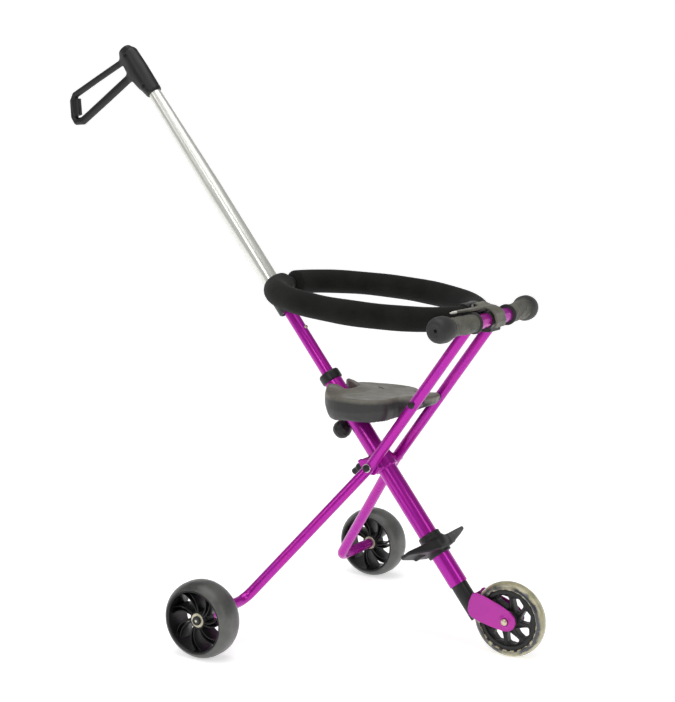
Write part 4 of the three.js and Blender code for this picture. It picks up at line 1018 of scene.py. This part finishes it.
def make_latch():
    px, pz = LATCH_PIN[0], LATCH_PIN[2]
    hook = [(px - 1.4, pz - 3.1), (px - 3.2, pz - 1.2), (px - 3.2, pz + 1.2), (px - 2.2, pz + 2.7),
            (px, pz + 3.6), (px + 5, pz + 3), (345, 537.6), (352, 536.8), (360, 534), (367, 528),
            (371, 515), (368, 506), (365.5, 506.5), (367, 515), (363.8, 525.5), (358, 531), (352, 533.2),
            (343, 533.6), (px + 3, pz - 3)]
    tab = [*bezier((350, -6), (350, -38), (346, -64), (336, -90), 12), (332.6, -92.6), (329, -89),
           *bezier((329, -89), (335, -64), (336, -38), (336, -6), 12)[1:]]

    def field(x, y, z):
        strap = slab(outline_distance(x, z, softened(hook, 1.5)), np.abs(y) - 15, 0.8)
        lever = slab(outline_distance(x, y, tab), between(z, 533.8, 537.4), 1.2)
        return less(melt(strap, lever, 1.5), np.hypot(x - px, z - pz) - PIN_BORE)

    shape = carved(field, (px - 6, -106, 502), (374, 18, pz + 7), 0.8)
    build("ring_latch", shape, GROUND, "latch", "grey_plastic", sharp=55)
    pin = [(0, -21), (2, -21), (2, 21), (0, 21)]
    build("latch_pin", turned(pin, 32, True, 0.4), at(GROUND, px, 0, pz), "ring", "steel")

    ring_in_ground = GROUND.inverted() @ RING
    front = ring_in_ground @ Vector((2 * RING_HALF_LENGTH * MM, 0, 0)) / MM

    def saddle(x, y, z):
        lx = (x - front.x) * math.cos(RING_TILT) - (z - front.z) * math.sin(RING_TILT)
        lz = (x - front.x) * math.sin(RING_TILT) + (z - front.z) * math.cos(RING_TILT)
        bend = RING_HALF_WIDTH ** 2 / RING_HALF_LENGTH
        lx = lx + y * y / (2 * bend)
        r, a = np.hypot(lx, lz), np.arctan2(lz, lx)
        band = slab(between(r, 19.6, 21.5), np.maximum(np.abs(y) - 21, 20 * between(a, 0.5, 2.2)), 0.6)
        lug = [(px - 12, pz - 10), (px + 2, pz - 8), (px + 3.2, pz + 2.8), (px - 3.6, pz + 3.2)]
        lugs = slab(outline_distance(x, z, lug), between(np.abs(y), 15.6, 21), 1.2)
        lugs = np.maximum(lugs, 19.6 - r)
        return less(union(band, lugs), np.hypot(x - px, z - pz) - PIN_BORE)

    shape = carved(saddle, (front.x - 24, -24, front.z + 2), (front.x + 24, 24, front.z + 30), 0.8)
    build("latch_saddle", shape, GROUND, "ring", "black_plastic", sharp=55)


# ------------------------------------------------------------------ wheels
def make_rear_wheel(side, place, body):
    out = -1 if side == "right" else 1
    tyre = [(49.3, -24.6), (51.8, -23.4), (54.6, -20.6), (57.2, -16.2), (58.9, -11.5), (59.85, -6)]
    tyre += reflected(tyre)
    build(f"rear_tyre_{side}", turned(tyre, 128, True, 3), place, body, "rear_tyre")
    parts = []
    rim = [(46.2, -22.5), (47.2, -24), (49, -24)]
    parts.append(turned(rim + reflected(rim), 128, True, 0.6))
    boss = [(5, -7.2), (11.3, -7.2), (11.3, -13), (12.6, -13), (15.5, -9)]
    parts.append(turned(boss + reflected(boss), 64, True, 0.8))
    for i in range(14):
        angle = 2 * math.pi * i / 14 + (0.11 if i % 2 else -0.11)
        parts.append(blade(angle))
    shape = gathered(parts)
    if out > 0:
        shape = mirrored(shape)
    build(f"rear_hub_{side}", shape, place, body, "hub_plastic", sharp=35)
    for label, low, high in (("outer", 7.3, 13), ("inner", -13, -7.3)):
        low, high = sorted((low * out, high * out))
        bearing = [(BEARING_BORE, low + 0.4), (6.6, low + 0.4), (7.1, low), (9.6, low), (10.1, low + 0.4),
                   (BEARING_RADIUS, low), (BEARING_RADIUS, high), (10.1, high - 0.4), (9.6, high),
                   (7.1, high), (6.6, high - 0.4), (BEARING_BORE, high - 0.4)]
        build(f"bearing_{label}_{side}", turned(bearing, 64, True, 0.15), place, body, "bearing")


def gathered(shapes):
    """Several shapes as one."""
    points, faces, base = [], [], 0
    for shape_points, shape_faces in shapes:
        points.append(np.asarray(shape_points, float))
        faces.extend([[i + base for i in f] for f in shape_faces])
        base += len(shape_points)
    return np.concatenate(points), faces


def blade(angle):
    """Curved blade of the rear hub, from the boss to the rim: thin at its outer edge, deeper behind."""
    steps, around = 16, 10
    rows = []
    for k in range(steps + 1):
        t = k / steps
        radius = 12.5 + 34.6 * t
        turn = angle + 0.5 * t ** 1.5
        front = -17 + 3.0 * t ** 2 + 4 * (1 - t) ** 2
        back = 14
        half = 1.0 + 0.5 * (1 - t)
        centre = np.array((radius * math.cos(turn), 0, radius * math.sin(turn)))
        cross = np.array((-math.sin(turn), 0, math.cos(turn)))
        section = [(0, front), (0.75, front + 0.5), (1, front + 1.6), (1, back - 1), (0.7, back), (0, back),
                   (-0.7, back), (-1, back - 1), (-1, front + 1.6), (-0.75, front + 0.5)]
        rows.append([centre + cross * half * u + np.array((0, y, 0)) for u, y in section])
    points = np.array(rows).reshape(-1, 3)
    faces = []
    for i in range(steps):
        for k in range(around):
            n = (k + 1) % around
            faces.append([i * around + k, i * around + n, (i + 1) * around + n, (i + 1) * around + k])
    faces.append(list(range(around))[::-1])
    faces.append(list(range(steps * around, (steps + 1) * around)))
    return points, faces


def make_front_wheel():
    tyre = [(47.3, -10.6), (50.6, -11.6), (54.4, -10), (57.2, -6.6), (58.7, -2.4)]
    tyre += reflected(tyre)
    build("front_tyre", turned(tyre, 128, True, 2.2), WHEEL_FRONT, "front_wheel", "clear_tyre")

    def polar(r, a, turn):
        return r * math.cos(a + turn), r * math.sin(a + turn)

    drop = [(17, -0.19), (27, 0.33), (35.5, 0.46), (39.4, 0.17), (36, -0.16), (27, -0.22)]

    def core(x, y, z):
        radius = np.hypot(x, z)
        rim = slab(between(radius, 40.4, 47), np.abs(y) - 9.6, 1)
        boss = slab(radius - 13.6, np.abs(y) - 11.6, 1)
        holes = 1e3
        for i in range(8):
            outline = softened([polar(r, a, i * math.pi / 4 + 0.157) for r, a in drop], 4)
            holes = np.minimum(holes, outline_distance(x, z, outline))
        web = slab(np.maximum(radius - 42, -holes), np.abs(y) - 6, 1)
        lip = slab(np.maximum(np.abs(holes - 1.2) - 1.2, radius - 42), np.abs(y) - 7, 0.5)
        body = union(rim, melt(melt(web, lip, 0.8), boss, 2))
        return less(body, np.maximum(radius - 11.3, 4 - np.abs(y)), radius - 5)

    shape = carved(core, (-49, -13, -49), (49, 13, 49), 0.8)
    build("front_core", shape, WHEEL_FRONT, "front_wheel", "black_plastic", sharp=50)
    for side, low, high in (("right", -11.6, -4.3), ("left", 4.3, 11.6)):
        bearing = hollow(BEARING_RADIUS, BEARING_BORE, low, high)
        build(f"front_bearing_{side}", turned(bearing, 64, True, 0.5), WHEEL_FRONT, "front_wheel", "steel")


make_main_frame()
make_bracket()
make_seat_lock()
make_footrest()
make_column()
make_fork()
make_handle_tube()
make_handle()
make_legs()
make_handlebar()
make_fasteners()
make_seat()
make_ring()
make_sleeve()
make_latch()
make_rear_wheel("right", WHEEL_RIGHT, "rear_wheel_right")
make_rear_wheel("left", WHEEL_LEFT, "rear_wheel_left")
make_front_wheel()


# ------------------------------------------------------------------ stage, light and camera
# Stage and lights are in metres, apart from the sweep's profile.
CAMERA_AZIMUTH, CAMERA_ELEVATION, CAMERA_ROLL = (math.radians(a) for a in (31.95, 9.39, 0.22))
CAMERA_PLACE = (1465.7, -2218.6, 876.4)         # millimetres, in the ground frame
LENS = 85.76                                    # focal length in millimetres


def make_stage():
    """A pale sweep: level underfoot all round, and curving up far behind the object only."""
    level, bend = 3200, 2600
    profile = [(0, 0), (1500, 0), (level, 0)]
    profile += [(level + bend * math.sin(a), bend * (1 - math.cos(a))) for a in np.linspace(0.12, 1.4, 12)]
    look = bpy.data.materials.new("sweep")
    look.use_nodes = True
    shader = look.node_tree.nodes["Principled BSDF"]
    shader.inputs["Roughness"].default_value = 0.9
    shader.inputs["Specular IOR Level"].default_value = 0.1
    shader.inputs["Emission Color"].default_value = (1, 1, 1, 1)
    shader.inputs["Emission Strength"].default_value = 0.5
    grain = look.node_tree.nodes.new("ShaderNodeTexNoise")
    grain.inputs["Scale"].default_value = 3
    tone = look.node_tree.nodes.new("ShaderNodeMapRange")
    tone.inputs["To Min"].default_value = 0.93
    tone.inputs["To Max"].default_value = 0.96
    look.node_tree.links.new(grain.outputs["Fac"], tone.inputs["Value"])
    look.node_tree.links.new(tone.outputs["Result"], shader.inputs["Base Color"])
    points, faces = turned(profile, 96, round_by=0)
    away = np.array((-math.sin(CAMERA_AZIMUTH), math.cos(CAMERA_AZIMUTH)))
    middles = [points[f].mean(0)[:2] for f in faces]
    faces = [f for f, m in zip(faces, middles) if np.hypot(*m) < level + 100 or m @ away > 0.1 * np.hypot(*m)]
    mesh = bpy.data.meshes.new("sweep")
    mesh.from_pydata((points * MM).tolist(), [], [tuple(f) for f in faces])
    mesh.materials.append(look)
    mesh.shade_smooth()
    floor = bpy.data.objects.new("sweep", mesh)
    bpy.context.scene.collection.objects.link(floor)


def aim(thing, target):
    """Turns a thing's -Z to a target in metres."""
    thing.rotation_mode = "QUATERNION"
    thing.rotation_quaternion = (Vector(target) - thing.location).to_track_quat("-Z", "Y")


def area_light(name, place, target, size, power):
    """Rectangular light at a place in metres, turned to a target; power is in watts."""
    data = bpy.data.lights.new(name, "AREA")
    data.shape = "RECTANGLE"
    data.size, data.size_y = size
    data.energy = power
    light = bpy.data.objects.new(name, data)
    bpy.context.scene.collection.objects.link(light)
    light.location = place
    aim(light, target)


def make_light():
    world = bpy.data.worlds.new("studio")
    world.use_nodes = True
    world.node_tree.nodes["Background"].inputs["Color"].default_value = (1, 1, 1, 1)
    world.node_tree.nodes["Background"].inputs["Strength"].default_value = 0.25
    bpy.context.scene.world = world
    middle = (0.1, 0, 0.4)
    area_light("overhead", (0.2, -0.4, 3.4), middle, (3.0, 3.0), 62)
    area_light("key", (-1.6, -3.0, 2.4), middle, (1.2, 1.6), 20)
    area_light("strip", (0.7, -2.7, 1.9), middle, (0.7, 1.5), 14)
    area_light("fill", (3.2, -0.8, 1.6), middle, (1.0, 2.2), 16)


def make_camera():
    a, e = CAMERA_AZIMUTH, CAMERA_ELEVATION
    back = Vector((math.sin(a) * math.cos(e), -math.cos(a) * math.cos(e), math.sin(e)))
    right = Vector((math.cos(a), math.sin(a), 0))
    turn = axes_at((0, 0, 0), right, back) @ Matrix.Rotation(CAMERA_ROLL, 4, "Z")
    data = bpy.data.cameras.new("camera")
    data.lens = LENS
    camera = bpy.data.objects.new("camera", data)
    bpy.context.scene.collection.objects.link(camera)
    camera.matrix_world = at(GROUND, *CAMERA_PLACE) @ turn
    bpy.context.scene.camera = camera


make_stage()
make_light()
make_camera()
bpy.context.scene.view_settings.view_transform = "Standard"
